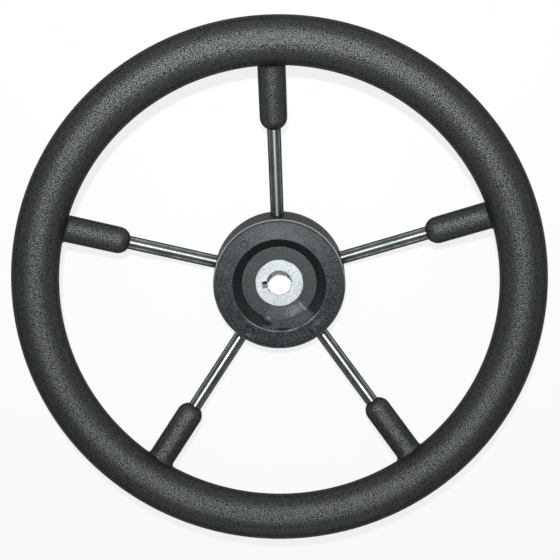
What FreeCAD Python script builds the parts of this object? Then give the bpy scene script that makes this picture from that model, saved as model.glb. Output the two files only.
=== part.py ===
"""Boat steering wheel: five dished stainless spokes, a moulded foam grip and a keyed taper hub.

The wheel lies on the rear face of its hub. Its axis is +Z, towards the helmsman, and the first
spoke runs along +Y. Every length is in millimetres and every angle in degrees.
"""

import FreeCAD, Part
import math
import os

import Sketcher

# Driving dimensions
DIMENSIONS = {
    # Grip: the moulded ring and the sleeves that run down the spokes
    "wheel_diameter": 350.0,
    "grip_diameter": 30.5,
    "sleeve_diameter": 18.0,
    "sleeve_reach": 54.4,
    "sleeve_nose": 7.2,
    "sleeve_land": 0.4,
    "sleeve_inset": 0.57,
    "grip_crease": 2.0,
    # Steel ring inside the grip
    "core_diameter": 10.0,
    # Spokes: round bars that dish forward from the hub to the ring
    "spoke_count": 5,
    "spoke_diameter": 9.0,
    "spoke_dish": 15.6,
    "spoke_entry_height": 15.1,
    "spoke_stop": 5.6,
    # Hub moulding
    "hub_rear_diameter": 93.0,
    "hub_front_diameter": 89.8,
    "hub_lip_height": 31.8,
    "hub_rear_round": 2.6,
    "hub_lip_width": 1.0,
    "hub_lip_round": 0.4,
    "hub_groove_width": 1.1,
    "hub_groove_depth": 1.2,
    "hub_face_step": 0.2,
    "hub_face_rise": 3.7,
    "recess_mouth_diameter": 63.8,
    "recess_floor_diameter": 51.0,
    "recess_depth": 8.2,
    "recess_edge_round": 0.7,
    # Relief pockets moulded into the rear of the hub
    "hub_wall": 4.0,
    "hub_boss_wall": 4.5,
    "spoke_cover": 3.5,
    "pocket_roof": 7.0,
    "pocket_round": 2.0,
    # Aluminium insert with the shaft taper
    "insert_diameter": 33.2,
    "insert_flats": 6,
    "insert_flat_depth": 0.35,
    "insert_sink": 1.2,
    "insert_chamfer": 0.5,
    "taper_large_diameter": 19.05,
    "taper_ratio": 12.0,
    "bore_chamfer": 0.4,
    "keyway_width": 4.76,
    "keyway_reach": 11.9,
    "keyway_direction": 186.0,
}

DOCUMENT = FreeCAD.newDocument("steering_wheel")
SHEET = DOCUMENT.addObject("Spreadsheet::Sheet", "Sizes")


class Size:
    """A dimension as a number together with the sheet formula that gives the same number."""

    def __init__(self, value, text):
        self.value = value
        self.text = text

    def __add__(self, other):
        other = sized(other)
        return Size(self.value + other.value, f"({self.text} + {other.text})")

    def __sub__(self, other):
        other = sized(other)
        return Size(self.value - other.value, f"({self.text} - {other.text})")

    def __mul__(self, other):
        other = sized(other)
        return Size(self.value * other.value, f"({self.text} * {other.text})")

    def __truediv__(self, other):
        other = sized(other)
        return Size(self.value / other.value, f"({self.text} / {other.text})")


def sized(number):
    """Return a plain number as a Size, and a Size unchanged."""
    if isinstance(number, Size):
        return number
    return Size(float(number), repr(float(number)))


def sine(angle):
    return Size(math.sin(math.radians(angle.value)), f"sin({angle.text})")


def cosine(angle):
    return Size(math.cos(math.radians(angle.value)), f"cos({angle.text})")


def tangent(angle):
    return Size(math.tan(math.radians(angle.value)), f"tan({angle.text})")


def root(number):
    return Size(math.sqrt(number.value), f"sqrt({number.text})")


def smaller(first, second):
    return Size(min(first.value, second.value), f"min({first.text}; {second.text})")


def fill_sheet():
    """Write every driving dimension into the sheet and return them all as sizes."""
    SHEET.set("A1", "dimension")
    SHEET.set("B1", "value")
    for row, (name, value) in enumerate(DIMENSIONS.items(), start=2):
        SHEET.set(f"A{row}", name)
        SHEET.set(f"B{row}", str(value))
        SHEET.setAlias(f"B{row}", name)
    DOCUMENT.recompute()
    return {name: Size(float(value), f"Sizes.{name}") for name, value in DIMENSIONS.items()}


D = fill_sheet()
ZERO = sized(0)
FULL_TURN = sized(360)

# Places that several pieces share
RING_RADIUS = (D["wheel_diameter"] - D["grip_diameter"]) / 2
SLEEVE_RADIUS = D["sleeve_diameter"] / 2
SPOKE_RADIUS = D["spoke_diameter"] / 2
INSERT_RADIUS = D["insert_diameter"] / 2
HUB_REAR_RADIUS = D["hub_rear_diameter"] / 2
HUB_FRONT_RADIUS = D["hub_front_diameter"] / 2
RECESS_MOUTH_RADIUS = D["recess_mouth_diameter"] / 2
SPOKE_RISE = tangent(D["spoke_dish"]) * (RING_RADIUS - HUB_REAR_RADIUS)
SPOKE_AXIS_AT_RING = D["spoke_entry_height"] + SPOKE_RISE
# the sleeves' rear sides lie just inside the rear of the ring
SPOKE_OFF_CENTRE = D["grip_diameter"] / 2 - SLEEVE_RADIUS - D["sleeve_inset"]
SPOKE_BELOW_RING = SPOKE_OFF_CENTRE / cosine(D["spoke_dish"])
RING_HEIGHT = SPOKE_AXIS_AT_RING + SPOKE_BELOW_RING
RECESS_MOUTH_HEIGHT = D["hub_lip_height"] - D["hub_face_step"] + D["hub_face_rise"]
RECESS_FLOOR_HEIGHT = RECESS_MOUTH_HEIGHT - D["recess_depth"]
INSERT_LENGTH = RECESS_FLOOR_HEIGHT - D["insert_sink"]
SPOKE_ANGLE = FULL_TURN / D["spoke_count"]
FIRST_SPOKE = sized(90)


def on_spoke(along, across):
    """Return (Y, Z) of a point in the first spoke's plane.

    along is measured outwards on the spoke's axis from the point under the ring's centreline,
    and across at right angles to it, towards the front of the wheel.
    """
    run = cosine(D["spoke_dish"])
    rise = sine(D["spoke_dish"])
    radius = RING_RADIUS + along * run - across * rise
    height = SPOKE_AXIS_AT_RING + along * rise + across * run
    return radius, height


def spoke_station(radius):
    """Return how far along the spoke's axis a given radius of the wheel lies."""
    return (radius - RING_RADIUS) / cosine(D["spoke_dish"])


SPOKE_OUTER_END = SPOKE_BELOW_RING * sine(D["spoke_dish"])
SPOKE_INNER_END = spoke_station(INSERT_RADIUS + D["spoke_stop"])
SLEEVE_TIP = spoke_station(RING_RADIUS - D["sleeve_reach"])

# How near two places count as the same when edges are picked
NEAR = 0.001
# Share of the lip's width that each of its two rounded edges may take
LARGEST_LIP_ROUND = 0.45


# Sketching

def origin_feature(body, role):
    """Return the body's own origin plane or axis with this role."""
    for feature in body.Origin.OriginFeatures:
        if feature.Role == role:
            return feature
    raise ValueError(f"{body.Label} has no {role}")


def new_body(label):
    body = DOCUMENT.addObject("PartDesign::Body", label)
    body.Label = label
    return body


def new_sketch(body, name, role, direction=None):
    """Add a sketch to the body on one of its own origin planes, turned to a direction in it."""
    sketch = body.newObject("Sketcher::SketchObject", name)
    sketch.AttachmentSupport = (origin_feature(body, role), [""])
    sketch.MapMode = "FlatFace"
    if direction:
        normal = FreeCAD.Vector(0, 0, 1)
        sketch.AttachmentOffset = FreeCAD.Placement(
            FreeCAD.Vector(0, 0, 0), FreeCAD.Rotation(normal, direction.value)
        )
        sketch.setExpression("AttachmentOffset.Rotation.Angle", direction.text)
    return sketch


def constrain(sketch, size, *parts):
    """Add a dimension to the sketch and tie it to the size's formula."""
    index = sketch.addConstraint(Sketcher.Constraint(*parts, size.value))
    sketch.setExpression(f"Constraints[{index}]", size.text)


def place_point(sketch, edge, end, point):
    """Fix one end of an edge at its two sizes, or on an axis of the sketch where one is zero."""
    for size, kind, axis in zip(point, ("DistanceX", "DistanceY"), (-2, -1)):
        if size.value == 0.0:
            sketch.addConstraint(Sketcher.Constraint("PointOnObject", edge, end, axis))
        elif size.value > 0.0:
            constrain(sketch, size, kind, -1, 1, edge, end)
        else:
            constrain(sketch, ZERO - size, kind, edge, end, -1, 1)


def vector(point):
    return FreeCAD.Vector(point[0].value, point[1].value, 0)


def arc_edge(start, finish, radius, side):
    """Return the short arc from start to finish, with its centre on the left (side 1) or right (-1)."""
    chord = finish - start
    middle = (start + finish) / 2
    left = FreeCAD.Vector(-chord.y, chord.x, 0).normalize()
    centre = middle + left * side * math.sqrt(radius ** 2 - (chord.Length / 2) ** 2)
    outwards = (middle - centre).normalize()
    return Part.Arc(start, centre + outwards * radius, finish)


def draw_outline(sketch, corners, arcs=None):
    """Draw a closed outline through the corners.

    arcs maps a corner's number to (radius, side) where the edge that leaves it is an arc.
    """
    arcs = arcs or {}
    points = [vector(corner) for corner in corners]
    edges = []
    joints = []
    for number, start in enumerate(points):
        finish = points[(number + 1) % len(points)]
        if number in arcs:
            radius, side = arcs[number]
            edge = sketch.addGeometry(arc_edge(start, finish, radius.value, side), False)
            # an arc runs anticlockwise, so one with its centre on the right is met at its far end
            joints.append((1, 2) if side > 0 else (2, 1))
        else:
            edge = sketch.addGeometry(Part.LineSegment(start, finish), False)
            joints.append((1, 2))
        edges.append(edge)
    for number, edge in enumerate(edges):
        following = (number + 1) % len(edges)
        sketch.addConstraint(
            Sketcher.Constraint("Coincident", edge, joints[number][1], edges[following], joints[following][0])
        )
    for number, corner in enumerate(corners):
        place_point(sketch, edges[number], joints[number][0], corner)
    for number, (radius, _) in arcs.items():
        constrain(sketch, radius, "Radius", edges[number])


def draw_circle(sketch, centre, radius):
    circle = Part.Circle(vector(centre), FreeCAD.Vector(0, 0, 1), radius.value)
    edge = sketch.addGeometry(circle, False)
    place_point(sketch, edge, 3, centre)
    constrain(sketch, radius, "Radius", edge)


def draw_axis(sketch, start, finish):
    """Draw the construction line that a profile is turned about."""
    edge = sketch.addGeometry(Part.LineSegment(vector(start), vector(finish)), True)
    place_point(sketch, edge, 1, start)
    place_point(sketch, edge, 2, finish)


# Features

def tip_volume(body):
    return body.Tip.Shape.Volume if body.Tip else 0.0


def finish_feature(body, feature, before, removes):
    """Make the feature the body's tip, and make sure that it adds or removes material."""
    body.Tip = feature
    DOCUMENT.recompute()
    if feature.Shape.isNull() or (feature.Shape.Volume < before) != removes:
        raise ValueError(f"{body.Label}: {feature.Label} doesn't shape the solid")
    return feature


def revolve(body, kind, name, sketch, axis, sweep=FULL_TURN):
    """Turn a sketch through an angle, half to each side, adding (Revolution) or cutting (Groove)."""
    before = tip_volume(body)
    feature = body.newObject(f"PartDesign::{kind}", name)
    feature.Profile = sketch
    feature.ReferenceAxis = (sketch, [axis])
    feature.Midplane = True
    feature.Angle = sweep.value
    feature.setExpression("Angle", sweep.text)
    return finish_feature(body, feature, before, kind == "Groove")


def pad_forwards(body, name, sketch, length):
    """Pad a sketch on the rear plane forwards by the given length."""
    before = tip_volume(body)
    pad = body.newObject("PartDesign::Pad", name)
    pad.Profile = sketch
    pad.Length = length.value
    pad.setExpression("Length", length.text)
    return finish_feature(body, pad, before, False)


def cut_forwards(body, name, sketch, length):
    """Pocket a sketch on the rear plane forwards through the given length."""
    before = tip_volume(body)
    pocket = body.newObject("PartDesign::Pocket", name)
    pocket.Profile = sketch
    pocket.Length = length.value
    pocket.setExpression("Length", length.text)
    pocket.Reversed = True
    return finish_feature(body, pocket, before, True)


def repeat_round(body, name, feature, count, removes):
    """Repeat a feature round the wheel's axis, or the whole body where no feature is given."""
    before = tip_volume(body)
    pattern = body.newObject("PartDesign::PolarPattern", name)
    if feature:
        pattern.Originals = [feature]
    else:
        pattern.TransformMode = "Whole shape"
    pattern.Axis = (origin_feature(body, "Z_Axis"), [""])
    pattern.Angle = FULL_TURN.value
    pattern.Occurrences = int(count.value)
    pattern.setExpression("Occurrences", count.text)
    return finish_feature(body, pattern, before, removes)


def soften(body, kind, name, edges, size):
    """Fillet or chamfer the named edges of the body's last feature."""
    if not edges:
        raise ValueError(f"{body.Label}: {name} finds no edge")
    last = body.Tip
    before = tip_volume(body)
    feature = body.newObject(f"PartDesign::{kind}", name)
    feature.Base = (last, edges)
    size_property = "Radius" if kind == "Fillet" else "Size"
    setattr(feature, size_property, size.value)
    feature.setExpression(size_property, size.text)
    body.Tip = feature
    DOCUMENT.recompute()
    if feature.Shape.isNull() or feature.Shape.Volume == before:
        raise ValueError(f"{body.Label}: {name} softens nothing")
    return feature


def edges_where(body, test):
    """Return the names of the last feature's edges that pass the test."""
    edges = body.Tip.Shape.Edges
    return [f"Edge{number}" for number, edge in enumerate(edges, start=1) if test(edge)]


def is_round_at(radius, height):
    """Return a test for a circle about the wheel's axis with this radius and height."""

    def test(edge):
        if edge.Curve.TypeId != "Part::GeomCircle":
            return False
        centre = edge.Curve.Center
        on_axis = math.hypot(centre.x, centre.y) < NEAR
        level = abs(centre.z - height.value) < NEAR
        return on_axis and level and abs(edge.Curve.Radius - radius.value) < NEAR

    return test


def ring_section(body, kind, name, diameter, sweep=FULL_TURN):
    """Turn a circle on the ring's centreline about the wheel's axis."""
    sketch = new_sketch(body, f"{name}_section", "YZ_Plane")
    draw_circle(sketch, (RING_RADIUS, RING_HEIGHT), diameter / 2)
    return revolve(body, kind, name, sketch, "V_Axis", sweep)


def spoke_bar(body, kind, name, inner_end, outer_end):
    """Turn a round bar of the spoke's diameter about the first spoke's axis."""
    sketch = new_sketch(body, f"{name}_section", "YZ_Plane")
    draw_axis(sketch, on_spoke(inner_end, ZERO), on_spoke(outer_end, ZERO))
    corners = [
        on_spoke(inner_end, ZERO),
        on_spoke(outer_end, ZERO),
        on_spoke(outer_end, SPOKE_RADIUS),
        on_spoke(inner_end, SPOKE_RADIUS),
    ]
    draw_outline(sketch, corners)
    return revolve(body, kind, name, sketch, "Axis0")


# Grip: one moulding, ring and sleeves, over the steel ring and the spokes' outer ends

def is_sleeve_crease(edge):
    """Tell the edge where a sleeve runs into the ring: it bends in space and lies near the ring."""
    if edge.Curve.TypeId in ("Part::GeomLine", "Part::GeomCircle"):
        return False
    centre = edge.BoundBox.Center
    inside_ring = RING_RADIUS - D["grip_diameter"]
    return math.hypot(centre.x, centre.y) > inside_ring.value


def make_grip():
    """Model the stretch of the moulding round the first spoke, and repeat it for each spoke."""
    grip = new_body("grip")
    ring_section(grip, "Revolution", "ring", D["grip_diameter"], SPOKE_ANGLE)

    # the sleeve's nose is an arc that starts on a narrow land and runs smoothly into its side
    land_radius = SPOKE_RADIUS + D["sleeve_land"]
    nose_drop = SLEEVE_RADIUS - land_radius
    nose_radius = (D["sleeve_nose"] * D["sleeve_nose"] + nose_drop * nose_drop) / (nose_drop * 2)
    section = new_sketch(grip, "sleeve_section", "YZ_Plane")
    draw_axis(section, on_spoke(SLEEVE_TIP, ZERO), on_spoke(SPOKE_OUTER_END, ZERO))
    corners = [
        on_spoke(SLEEVE_TIP, ZERO),
        on_spoke(SPOKE_OUTER_END, ZERO),
        on_spoke(SPOKE_OUTER_END, SLEEVE_RADIUS),
        on_spoke(SLEEVE_TIP + D["sleeve_nose"], SLEEVE_RADIUS),
        on_spoke(SLEEVE_TIP, land_radius),
    ]
    draw_outline(section, corners, {3: (nose_radius, 1)})
    revolve(grip, "Revolution", "sleeve", section, "Axis0")
    soften(grip, "Fillet", "crease", edges_where(grip, is_sleeve_crease), D["grip_crease"])

    ring_section(grip, "Groove", "core_channel", D["core_diameter"])
    channel_start = SLEEVE_TIP - D["spoke_diameter"]
    spoke_bar(grip, "Groove", "spoke_channel", channel_start, SPOKE_OUTER_END)
    repeat_round(grip, "stretches", None, D["spoke_count"], False)
    return grip


# Steel ring that the spokes are welded to, sealed inside the grip

def make_rim_core():
    core = new_body("rim_core")
    ring_section(core, "Revolution", "core_ring", D["core_diameter"])
    return core


# Spokes: bars whose outer ends are coped to the steel ring

def make_spoke(number):
    spoke = new_body(f"spoke_{number + 1}")
    spoke_bar(spoke, "Revolution", "bar", SPOKE_INNER_END, SPOKE_OUTER_END)
    ring_section(spoke, "Groove", "cope", D["core_diameter"])
    turn_angle = SPOKE_ANGLE * number
    spoke.Placement = FreeCAD.Placement(
        FreeCAD.Vector(0, 0, 0), FreeCAD.Rotation(FreeCAD.Vector(0, 0, 1), turn_angle.value)
    )
    spoke.setExpression("Placement.Rotation.Angle", turn_angle.text)
    return spoke


# Insert: a round bar with flats against turning, a tapered bore and a keyway

def turn_insert_bar(body):
    """Pad the insert's round form, from the hub's rear face to just under the recess floor."""
    outline = new_sketch(body, "insert_round", "XY_Plane")
    draw_circle(outline, (ZERO, ZERO), INSERT_RADIUS)
    pad_forwards(body, "insert_bar", outline, INSERT_LENGTH)


def mill_insert_flats(body):
    """Cut one flat square to the keyway, and the others round the bar."""
    beyond = D["insert_diameter"]
    flat_distance = INSERT_RADIUS - D["insert_flat_depth"]
    corners = [
        (flat_distance, ZERO - beyond),
        (beyond, ZERO - beyond),
        (beyond, beyond),
        (flat_distance, beyond),
    ]
    flat_outline = new_sketch(body, "flat_outline", "XY_Plane", D["keyway_direction"])
    draw_outline(flat_outline, corners)
    flat = cut_forwards(body, "flat", flat_outline, INSERT_LENGTH)
    repeat_round(body, "flats", flat, D["insert_flats"], True)


def make_insert():
    insert = new_body("hub_insert")
    turn_insert_bar(insert)
    rims = edges_where(insert, is_round_at(INSERT_RADIUS, ZERO))
    rims += edges_where(insert, is_round_at(INSERT_RADIUS, INSERT_LENGTH))
    soften(insert, "Chamfer", "rims", rims, D["insert_chamfer"])
    mill_insert_flats(insert)

    large_radius = D["taper_large_diameter"] / 2
    small_radius = large_radius - INSERT_LENGTH / D["taper_ratio"] / 2
    taper_section = new_sketch(insert, "taper_section", "YZ_Plane")
    corners = [
        (ZERO, ZERO),
        (large_radius, ZERO),
        (small_radius, INSERT_LENGTH),
        (ZERO, INSERT_LENGTH),
    ]
    draw_outline(taper_section, corners)
    revolve(insert, "Groove", "taper", taper_section, "V_Axis")
    mouths = edges_where(insert, is_round_at(large_radius, ZERO))
    mouths += edges_where(insert, is_round_at(small_radius, INSERT_LENGTH))
    soften(insert, "Chamfer", "bore_mouths", mouths, D["bore_chamfer"])

    half_width = D["keyway_width"] / 2
    keyway_outline = new_sketch(insert, "keyway_outline", "XY_Plane", D["keyway_direction"])
    corners = [
        (ZERO, ZERO - half_width),
        (D["keyway_reach"], ZERO - half_width),
        (D["keyway_reach"], half_width),
        (ZERO, half_width),
    ]
    draw_outline(keyway_outline, corners)
    cut_forwards(insert, "keyway", keyway_outline, INSERT_LENGTH)
    return insert


# Hub: one moulding round the insert and the spokes' inner ends, hollowed from the rear

def cut_rear_pockets(hub):
    """Cut the relief pockets, which leave a boss round the insert and a rib behind each spoke."""
    boss_radius = INSERT_RADIUS + D["hub_boss_wall"]
    wall_radius = HUB_REAR_RADIUS - D["hub_wall"]
    rib = SPOKE_RADIUS + D["spoke_cover"]
    boss_run = root(boss_radius * boss_radius - rib * rib)
    wall_run = root(wall_radius * wall_radius - rib * rib)
    run = cosine(SPOKE_ANGLE)
    rise = sine(SPOKE_ANGLE)
    corners = [
        (boss_run, rib),
        (wall_run, rib),
        (wall_run * run + rib * rise, wall_run * rise - rib * run),
        (boss_run * run + rib * rise, boss_run * rise - rib * run),
    ]
    outline = new_sketch(hub, "pocket_outline", "XY_Plane", FIRST_SPOKE)
    draw_outline(outline, corners, {1: (wall_radius, 1), 3: (boss_radius, -1)})
    pocket_depth = RECESS_FLOOR_HEIGHT - D["pocket_roof"]
    pocket = cut_forwards(hub, "pocket", outline, pocket_depth)
    repeat_round(hub, "pockets", pocket, D["spoke_count"], True)

    def is_pocket_corner(edge):
        box = edge.BoundBox
        upright = box.XLength < NEAR and box.YLength < NEAR
        return upright and abs(box.ZLength - pocket_depth.value) < NEAR

    soften(hub, "Fillet", "pocket_corners", edges_where(hub, is_pocket_corner), D["pocket_round"])


def make_hub():
    moulding = new_body("hub_moulding")
    lip_inside = HUB_FRONT_RADIUS - D["hub_lip_width"]
    face_edge = lip_inside - D["hub_groove_width"]
    lip_height = D["hub_lip_height"]
    groove_height = lip_height - D["hub_groove_depth"]
    corners = [
        (ZERO, ZERO),
        (HUB_REAR_RADIUS, ZERO),
        (HUB_FRONT_RADIUS, lip_height),
        (lip_inside, lip_height),
        (lip_inside, groove_height),
        (face_edge, groove_height),
        (face_edge, lip_height - D["hub_face_step"]),
        (RECESS_MOUTH_RADIUS, RECESS_MOUTH_HEIGHT),
        (D["recess_floor_diameter"] / 2, RECESS_FLOOR_HEIGHT),
        (INSERT_RADIUS, RECESS_FLOOR_HEIGHT),
        (INSERT_RADIUS, INSERT_LENGTH),
        (ZERO, INSERT_LENGTH),
    ]
    section = new_sketch(moulding, "hub_section", "YZ_Plane")
    draw_outline(section, corners)
    revolve(moulding, "Revolution", "hub_form", section, "V_Axis")

    lip_round = smaller(D["hub_lip_round"], D["hub_lip_width"] * LARGEST_LIP_ROUND)
    lip_edges = edges_where(moulding, is_round_at(HUB_FRONT_RADIUS, lip_height))
    lip_edges += edges_where(moulding, is_round_at(lip_inside, lip_height))
    soften(moulding, "Fillet", "lip", lip_edges, lip_round)
    recess_edge = edges_where(moulding, is_round_at(RECESS_MOUTH_RADIUS, RECESS_MOUTH_HEIGHT))
    soften(moulding, "Fillet", "recess_edge", recess_edge, D["recess_edge_round"])
    rear_edge = edges_where(moulding, is_round_at(HUB_REAR_RADIUS, ZERO))
    soften(moulding, "Fillet", "rear_edge", rear_edge, D["hub_rear_round"])

    cut_rear_pockets(moulding)
    beyond_wall = spoke_station(HUB_REAR_RADIUS) + D["spoke_diameter"]
    socket = spoke_bar(moulding, "Groove", "spoke_socket", SPOKE_INNER_END, beyond_wall)
    repeat_round(moulding, "spoke_sockets", socket, D["spoke_count"], True)

    # the plastic follows the insert's bar exactly, flats included
    insert_form = new_body("insert_form")
    turn_insert_bar(insert_form)
    mill_insert_flats(insert_form)
    hub = DOCUMENT.addObject("Part::Cut", "hub")
    hub.Label = "hub"
    hub.Base = moulding
    hub.Tool = insert_form
    DOCUMENT.recompute()
    return hub


def check_document():
    """Stop if any object failed to compute."""
    for item in DOCUMENT.Objects:
        if "Invalid" in item.State or "Error" in item.State:
            raise ValueError(f"{item.Label} failed: {item.State}")


def write_pieces(pieces):
    """Check each piece and write it to parts/ under its label."""
    os.makedirs("parts", exist_ok=True)
    for piece in pieces:
        shape = piece.Shape
        if shape.isNull() or not shape.isValid() or len(shape.Solids) != 1:
            raise ValueError(f"{piece.Label} isn't one valid solid")
    for piece in pieces:
        piece.Shape.exportStep(f"parts/{piece.Label}.step")
        print(f"{piece.Label}: {piece.Shape.Volume:.0f} mm3")


PIECES = [make_grip(), make_rim_core()]
PIECES += [make_spoke(number) for number in range(int(D["spoke_count"].value))]
PIECES += [make_hub(), make_insert()]
DOCUMENT.recompute()
check_document()
write_pieces(PIECES)
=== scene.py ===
"""Looks of the boat steering wheel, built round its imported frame.

The wheel lies on the rear face of its hub. Its axis is +Z and its first spoke runs along +Y.
Lengths are in metres and angles in radians, unless a name says otherwise.
"""

import logging
import math
from collections.abc import Callable, Iterable
from dataclasses import dataclass
from enum import Enum

import bpy
import numpy as np
from mathutils import Matrix, Vector

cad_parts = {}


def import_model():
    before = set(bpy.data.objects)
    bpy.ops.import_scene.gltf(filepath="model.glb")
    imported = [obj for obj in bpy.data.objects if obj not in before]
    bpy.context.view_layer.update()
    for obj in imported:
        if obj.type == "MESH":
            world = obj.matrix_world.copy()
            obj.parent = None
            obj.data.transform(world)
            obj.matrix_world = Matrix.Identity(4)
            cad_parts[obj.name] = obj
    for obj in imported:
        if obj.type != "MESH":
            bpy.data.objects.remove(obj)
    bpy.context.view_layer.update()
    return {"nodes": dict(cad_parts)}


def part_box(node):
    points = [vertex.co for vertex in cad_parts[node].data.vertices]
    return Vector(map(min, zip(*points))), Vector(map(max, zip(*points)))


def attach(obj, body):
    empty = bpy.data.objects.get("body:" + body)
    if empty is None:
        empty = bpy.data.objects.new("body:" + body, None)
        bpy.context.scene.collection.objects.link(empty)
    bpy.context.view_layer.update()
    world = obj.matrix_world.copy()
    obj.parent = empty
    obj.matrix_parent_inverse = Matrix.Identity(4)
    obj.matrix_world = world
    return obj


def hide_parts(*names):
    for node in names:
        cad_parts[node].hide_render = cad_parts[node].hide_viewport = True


LOG = logging.getLogger("steering_wheel")
MM = 0.001
FULL_TURN = 2 * math.pi
TINY = 1e-9
SHARP_EDGE = math.radians(28)
ROOT = "root"


class Slot(Enum):
    """Names of material slots."""

    GRIP = "grip_foam"
    SPOKE = "spoke_steel"
    HUB = "hub_nylon"
    INSERT = "insert_aluminium"


def linear(hex_colour: str) -> tuple[float, float, float, float]:
    """Turn an sRGB colour into the linear one that a shader takes.

    Args:
        hex_colour: Six hex digits, such as "1d1f21".

    Returns:
        Red, green, blue and an alpha of one.
    """
    channels = [int(hex_colour[i:i + 2], 16) / 255 for i in (0, 2, 4)]
    red, green, blue = (c / 12.92 if c <= 0.04045 else ((c + 0.055) / 1.055) ** 2.4 for c in channels)
    return red, green, blue, 1.0


def live_socket(sockets: Iterable[bpy.types.NodeSocket], name: str) -> bpy.types.NodeSocket:
    """Return the socket of this name that the node's settings leave in use."""
    return next(socket for socket in sockets if socket.name == name and socket.enabled)


def add_node(tree: bpy.types.NodeTree, kind: str, inputs: dict | None = None, **settings) -> bpy.types.Node:
    """Add a node with its settings, and set or link its inputs.

    Args:
        tree: The tree that the node goes into.
        kind: The node's type name.
        inputs: Input name or number, with a socket to link or a value to set.
        **settings: The node's own properties.

    Returns:
        The new node.
    """
    node = tree.nodes.new(kind)
    for name, value in settings.items():
        setattr(node, name, value)
    for key, value in (inputs or {}).items():
        socket = node.inputs[key] if isinstance(key, int) else live_socket(node.inputs, key)
        if isinstance(value, bpy.types.NodeSocket):
            tree.links.new(value, socket)
        else:
            socket.default_value = value
    return node


def work_out(tree: bpy.types.NodeTree, values: dict, steps: tuple) -> dict:
    """Turn a formula, given as rows of (result, operation, terms), into math nodes.

    Args:
        tree: The tree that the nodes go into.
        values: Sockets and numbers by name. The results are added to it.
        steps: The rows, each of which may use the results of the rows before it.

    Returns:
        The same dictionary, with the results.
    """
    for result, operation, *terms in steps:
        sockets = {i: values[term] if isinstance(term, str) else term for i, term in enumerate(terms)}
        values[result] = add_node(tree, "ShaderNodeMath", sockets, operation=operation).outputs[0]
    return values


def held(result: str, value: str, most: float = 1.0) -> tuple:
    """Return the formula rows that hold a value between zero and the most it may be."""
    return (f"{result}_least", "MAXIMUM", value, 0.0), (result, "MINIMUM", f"{result}_least", most)


def about_axis(tree: bpy.types.NodeTree, place: bpy.types.NodeSocket) -> dict:
    """Split a place into x, y and z, and work out its radius and bearing about the wheel's axis.

    Args:
        tree: The tree that the nodes go into.
        place: The place to split.

    Returns:
        The sockets by name.
    """
    parts = add_node(tree, "ShaderNodeSeparateXYZ", {0: place})
    return work_out(tree, dict(zip("xyz", parts.outputs)), (
        ("x_square", "MULTIPLY", "x", "x"),
        ("square", "MULTIPLY_ADD", "y", "y", "x_square"),
        ("radius", "SQRT", "square"),
        ("bearing", "ARCTAN2", "y", "x"),
    ))


def new_group(name: str, inputs: dict[str, str], outputs: dict[str, str]) -> tuple:
    """Start a Geometry Nodes tree with named inputs and outputs.

    Args:
        name: The tree's name.
        inputs: Each input's name and the short name of its socket type.
        outputs: Each output's name and the short name of its socket type.

    Returns:
        The tree, its input sockets by name, and its output node.
    """
    tree = bpy.data.node_groups.new(name, "GeometryNodeTree")
    for sockets, way in ((inputs, "INPUT"), (outputs, "OUTPUT")):
        for label, kind in sockets.items():
            tree.interface.new_socket(label, in_out=way, socket_type=f"NodeSocket{kind}")
    source = add_node(tree, "NodeGroupInput")
    sink = add_node(tree, "NodeGroupOutput")
    return tree, {label: source.outputs[label] for label in inputs}, sink


def new_mesh(name: str, points: list, faces: list) -> bpy.types.Mesh:
    """Make a mesh from points and faces.

    Args:
        name: The mesh's name.
        points: The points' places.
        faces: Each face's point numbers, in order round its outside.

    Returns:
        The mesh.
    """
    mesh = bpy.data.meshes.new(name)
    mesh.from_pydata(points, [], faces)
    mesh.update()
    return mesh


def mesh_object(name: str, mesh: bpy.types.Mesh) -> bpy.types.Object:
    """Link a mesh into the scene as an object at the origin.

    Args:
        name: The object's name.
        mesh: Its mesh.

    Returns:
        The object.
    """
    piece = bpy.data.objects.new(name, mesh)
    bpy.context.scene.collection.objects.link(piece)
    return piece


def prism_cutter(name: str, outline: list, low: float, high: float, bearing: float) -> bpy.types.Object:
    """Stand a closed prism along the wheel's axis, for another piece to be cut with.

    Args:
        name: The cutter's name.
        outline: The outline's points, in order, for a bearing of zero.
        low: The height of its lower end.
        high: The height of its upper end.
        bearing: How far it is turned about the axis.

    Returns:
        The cutter.
    """
    turn = Matrix.Rotation(bearing, 3, "Z")
    count = len(outline)
    points = [turn @ Vector((x, y, z)) for z in (low, high) for x, y in outline]
    faces = [tuple(range(count))[::-1], tuple(range(count, 2 * count))]
    faces += [(i, (i + 1) % count, count + (i + 1) % count, count + i) for i in range(count)]
    return mesh_object(name, new_mesh(name, points, faces))


def grow_from_tree(name: str, tree: bpy.types.NodeTree, values: dict,
                   start: bpy.types.Mesh | None = None) -> bpy.types.Object:
    """Evaluate a Geometry Nodes tree and keep the result as a plain mesh.

    Args:
        name: The new piece's name.
        tree: The tree to evaluate.
        values: Values for its named inputs.
        start: The mesh that the tree starts from, if it takes one.

    Returns:
        The piece, with no modifier left on it.
    """
    carrier = mesh_object(f"{name}_start", start or bpy.data.meshes.new(f"{name}_start"))
    modifier = carrier.modifiers.new(name, "NODES")
    modifier.node_group = tree
    keys = {item.name: item.identifier for item in tree.interface.items_tree if item.in_out == "INPUT"}
    for label, value in values.items():
        modifier[keys[label]] = value
    graph = bpy.context.evaluated_depsgraph_get()
    mesh = bpy.data.meshes.new_from_object(carrier.evaluated_get(graph))
    mesh.name = name
    carrier.modifiers.remove(modifier)
    bpy.data.objects.remove(carrier)
    return mesh_object(name, mesh)


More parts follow.
